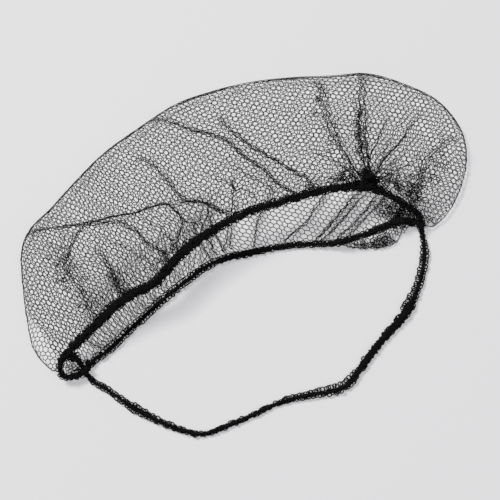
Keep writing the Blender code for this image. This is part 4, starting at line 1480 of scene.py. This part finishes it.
def make_studio():
    """A soft light high on the far left, a weak one from the right, and a pale room."""
    directions = np.array([*make_camera(), UP])
    for name, (place, size, power, colour) in LAMPS.items():
        add_light(name, place @ directions, size, power, colour)
    world = bpy.data.worlds.new("pale_room")
    world.use_nodes = True
    background = world.node_tree.nodes["Background"]
    background.inputs["Color"].default_value = ROOM_COLOUR
    background.inputs["Strength"].default_value = ROOM_LIGHT
    bpy.context.scene.world = world
    bpy.context.scene.view_settings.view_transform = "Standard"
    bpy.context.scene.cycles.use_denoising = False
    make_table()


def make_net(yarn):
    """The two layers of the net bag, the strands along its folds and outline, and its crumpled places."""
    node = "net_pouch"
    top = lay_flat(top_sections, True)
    flat, cells = bent_honeycomb(top, NET_TURN, TOP_NET_RADIUS, NET_MARGIN)
    net = laid_net(top, flat, cells, TOP_DRAWS, TOP_FOLDS, 3)
    add_piece("net_top_layer", strands(*net, STRAND_WIDTH, STRAND_THICKNESS), yarn, node, shades=False)
    bottom = lay_flat(bottom_sections, False)
    flat, cells = bent_honeycomb(bottom, BOTTOM_NET_TURN, BOTTOM_NET_RADIUS, 2 * NET_MARGIN)
    for gather in GATHERS:
        flat = gathered_to_left(flat, *gather)
    net = laid_net(bottom, flat, cells, BOTTOM_DRAWS, BOTTOM_FOLDS, 23)
    add_piece("net_bottom_layer", strands(*net, STRAND_WIDTH, STRAND_THICKNESS), yarn, node)
    above = fold_strands(top, TOP_FOLDS, 51)
    below = fold_strands(bottom, BOTTOM_FOLDS, 52)
    add_piece("net_fold_edges", join(above, back_edge(top, 53)), yarn, node)
    add_piece("net_mouth_gathers", join(below, roll_front(bottom, 57)), yarn, node)
    above = crumples(top, TOP_FOLDS, TOP_CRUMPLES, 54)
    below = crumples(bottom, BOTTOM_FOLDS, BOTTOM_CRUMPLES, 56)
    add_piece("net_crumples", join(above, below), yarn, node)


def make_upper_rim(elastic, lace):
    """The upper rim: packed gathers of net on elastic, wound with yarn, and loops at both its edges."""
    line = band(upper_rows())
    packed = (
        (0.0, 0.56), (0.08, 0.60), (0.13, 0.86), (0.20, 0.86), (0.44, 0.80), (0.51, 0.58), (0.68, 0.54),
        (0.76, 0.58), (0.84, 0.62), (0.88, 0.46), (0.93, 0.48), (1.0, 0.50),
    )
    ribs = ((0.0130, 0.8), (0.0056, 0.7), (0.0022, 0.5))
    windings = ((0.0019, 0.98, 0.00044, 7), (-0.0041, 1.08, 0.00036, 8))
    yarn = packed_yarn(line, packed, 14, ribs, 0.16, 5, windings)
    add_piece("upper_rim_core", yarn, elastic, "upper_rim")
    edge = [(along, wide + 0.10) for along, wide in packed]
    lacy = ((0.0, 0.4), (0.44, 0.5), (0.50, 1.0), (0.76, 1.0), (0.84, 0.6), (1.0, 0.6))
    ring = {"radius": 0.00034, "tilt": 0.30, "weights": lacy}
    back = edge_rings(line, BACK_SIDE, edge, pitch=0.0017, size=0.0024, seed=60, **ring)
    front = edge_rings(line, FRONT_SIDE, edge, pitch=0.0021, size=0.0022, seed=62, **ring)
    over = cover(line, packed, count=900, size=0.0022, radius=0.00032, tilt=0.60, seed=10)
    hair = fibres(line, (BACK_SIDE, FRONT_SIDE), count=60, length=0.0016, radius=0.00009, seed=12)
    add_piece("upper_rim_loops", join(back, front, over, hair), lace, "upper_rim")


def make_clump(elastic, lace):
    """The clump behind the upper rim, where the net is gathered into a tangled heap."""
    rim = upper_rim_at(np.array([UPPER_SWELLINGS[0][0] - CLUMP_BEFORE]))[0, :3]
    backwards = unit(np.array(CLUMP_HEADING))
    foot = rim + backwards * CLUMP_FOOT
    middle = knot(foot, (0.0042, 0.0030, 0.0018), first_lean=0.7)
    tip = knot(foot + backwards * CLUMP_TIP, (0.0020, 0.0030, 0.0014), first_lean=1.9)
    add_piece("clump_core", join(middle, tip), elastic, "upper_rim")
    heaps = (
        # behind the foot, spread, rings, size, radius, seed
        (0.0006, (0.0034, 0.0018, 0.0008), 110, 0.0023, 0.00028, 64),
        (0.0040, (0.0017, 0.0026, 0.0007), 80, 0.0023, 0.00026, 66),
    )
    tangle = [heap(foot + backwards * behind, *rest) for behind, *rest in heaps]
    add_piece("clump_tangle", join(*tangle), lace, "upper_rim")


def make_lower_rim(elastic, lace):
    """The lower rim: the same but thinner, with wider loops and loose fibres at its front."""
    line = band(lower_rows())
    packed = (
        (0.0, 0.50), (0.06, 0.36), (0.44, 0.40), (0.48, 0.56), (0.54, 0.58), (0.58, 0.42), (0.72, 0.36),
        (0.82, 0.46), (0.90, 0.56), (1.0, 0.60),
    )
    ribs = ((0.0090, 0.8), (0.0043, 0.6), (0.0019, 0.5))
    windings = ((0.0023, 1.00, 0.00040, 17), (-0.0043, 1.60, 0.00038, 18))
    yarn = packed_yarn(line, packed, 12, ribs, 0.20, 15, windings)
    add_piece("lower_rim_core", yarn, elastic, "lower_rim")
    edge = (
        (0.0, 0.50), (0.06, 0.70), (0.40, 0.66), (0.50, 0.40), (0.72, 0.36), (0.82, 0.46), (0.90, 0.56),
        (1.0, 0.50),
    )
    dense = ((0.0, 0.6), (0.06, 0.40), (0.40, 0.40), (0.50, 1.0), (1.0, 1.0))
    back = edge_rings(line, BACK_SIDE, edge, pitch=0.0020, size=0.0026, radius=0.00040, tilt=0.16, seed=70)
    front = edge_rings(line, FRONT_SIDE, edge, pitch=0.0018, size=0.0024, radius=0.00040, tilt=0.18, seed=72)
    over = cover(line, packed, count=460, size=0.0019, radius=0.00032, tilt=0.35, seed=20, weights=dense)
    hair = fibres(line, (FRONT_SIDE,), count=130, length=0.0024, radius=0.00012, seed=22)
    add_piece("lower_rim_loops", join(back, front, over, hair), lace, "lower_rim")


def make_strap(elastic, lace):
    """The strap: packed net wound with yarn, and rows of small rings where it is lacy."""
    line = band(strap_rows())
    along, packed, outside, skin, spread, share = np.asarray(STRAP_LACE).T
    packed, skin, spread, share = (np.column_stack([along, part]) for part in (packed, skin, spread, share))
    inside = moved_aside(line, np.column_stack([along, -outside]))
    ribs = ((0.0085, 0.7), (0.0040, 0.6), (0.0020, 0.5))
    windings = ((0.0026, 1.00, 0.00042, 37), (-0.0035, 1.15, 0.00038, 38))
    yarn = packed_yarn(inside, packed, 12, ribs, 0.16, 31, windings)
    add_piece("strap_yarns", yarn, elastic, "head_strap")
    ring = {"radius": 0.00042, "tilt": 0.12, "weights": share}
    inner = edge_rings(line, BACK_SIDE, spread, pitch=0.0018, size=0.0026, seed=42, **ring)
    outer = edge_rings(line, FRONT_SIDE, spread, pitch=0.0019, size=0.0024, seed=44, **ring)
    over = cover(inside, skin, count=520, size=0.0019, radius=0.00033, tilt=0.35, seed=46)
    hair = fibres(line, (BACK_SIDE, FRONT_SIDE), count=50, length=0.0016, radius=0.00009, seed=43)
    add_piece("strap_rings", join(inner, outer, over, hair), lace, "head_strap")


def make_end_gathers(elastic, lace):
    """The two sewn gathers at the rim's ends, the net inside the hook on the left, and what closes it."""
    left, right = "left_end_gather", "right_end_gather"
    half_sizes = (0.0028, 0.0024, GATHER_HEIGHT * 0.40)
    add_piece("left_gather_knot", knot(LEFT_END, half_sizes, first_lean=0.3), elastic, left)
    add_piece("right_gather_knot", knot(RIGHT_END, half_sizes, first_lean=1.1), elastic, right)
    goal = upper_rim_at(np.array([HOOK_CLOSED_AT]))[0, :3]
    bow = (LEFT_END + goal) / 2 + HOOK_CLOSING_BOW
    closing = band(band_rows(np.array([LEFT_END, bow, goal]), np.ones(3), *HOOK_CLOSING_SIZE))
    ribs = ((0.0048, 0.6), (0.0021, 0.5))
    yarn = packed_yarn(closing, 0.80, 12, ribs, 0.14, 82, ((0.0020, 0.96, 0.00040, 83),))
    add_piece("hook_closing", yarn, elastic, left)
    draw = np.random.default_rng(80)
    across, deep = np.meshgrid((-1.0, 0.0, 1.0), (-1.0, 0.0, 1.0))
    cells = np.stack([across.ravel(), deep.ravel(), np.zeros(across.size)], axis=1)
    place = LEFT_END + HOOK_MIDDLE + cells * HOOK_NET_SPACING
    place += draw.normal(0, HOOK_NET_STRAY, place.shape)
    along, beside = np.eye(3)[:2]
    inside = rings(place, along, beside, size=0.0025, radius=0.00022, tilt=0.25, seed=81)
    round_left = [heap(LEFT_END + place, *rest) for place, *rest in LEFT_HEAPS]
    add_piece("hook_net", join(inside, *round_left), lace, left)
    round_right = [heap(RIGHT_END + place, *rest) for place, *rest in RIGHT_HEAPS]
    add_piece("right_gather_net", join(*round_right), lace, right)


def build():
    """The studio, then every piece of the cover."""
    make_studio()
    grain = fibre_grain()
    net, elastic, lace = (yarn_material(name, grain, *finish) for name, finish in YARNS.items())
    make_net(net)
    make_upper_rim(elastic, lace)
    make_lower_rim(elastic, lace)
    make_strap(elastic, lace)
    make_clump(elastic, lace)
    make_end_gathers(elastic, lace)


build()
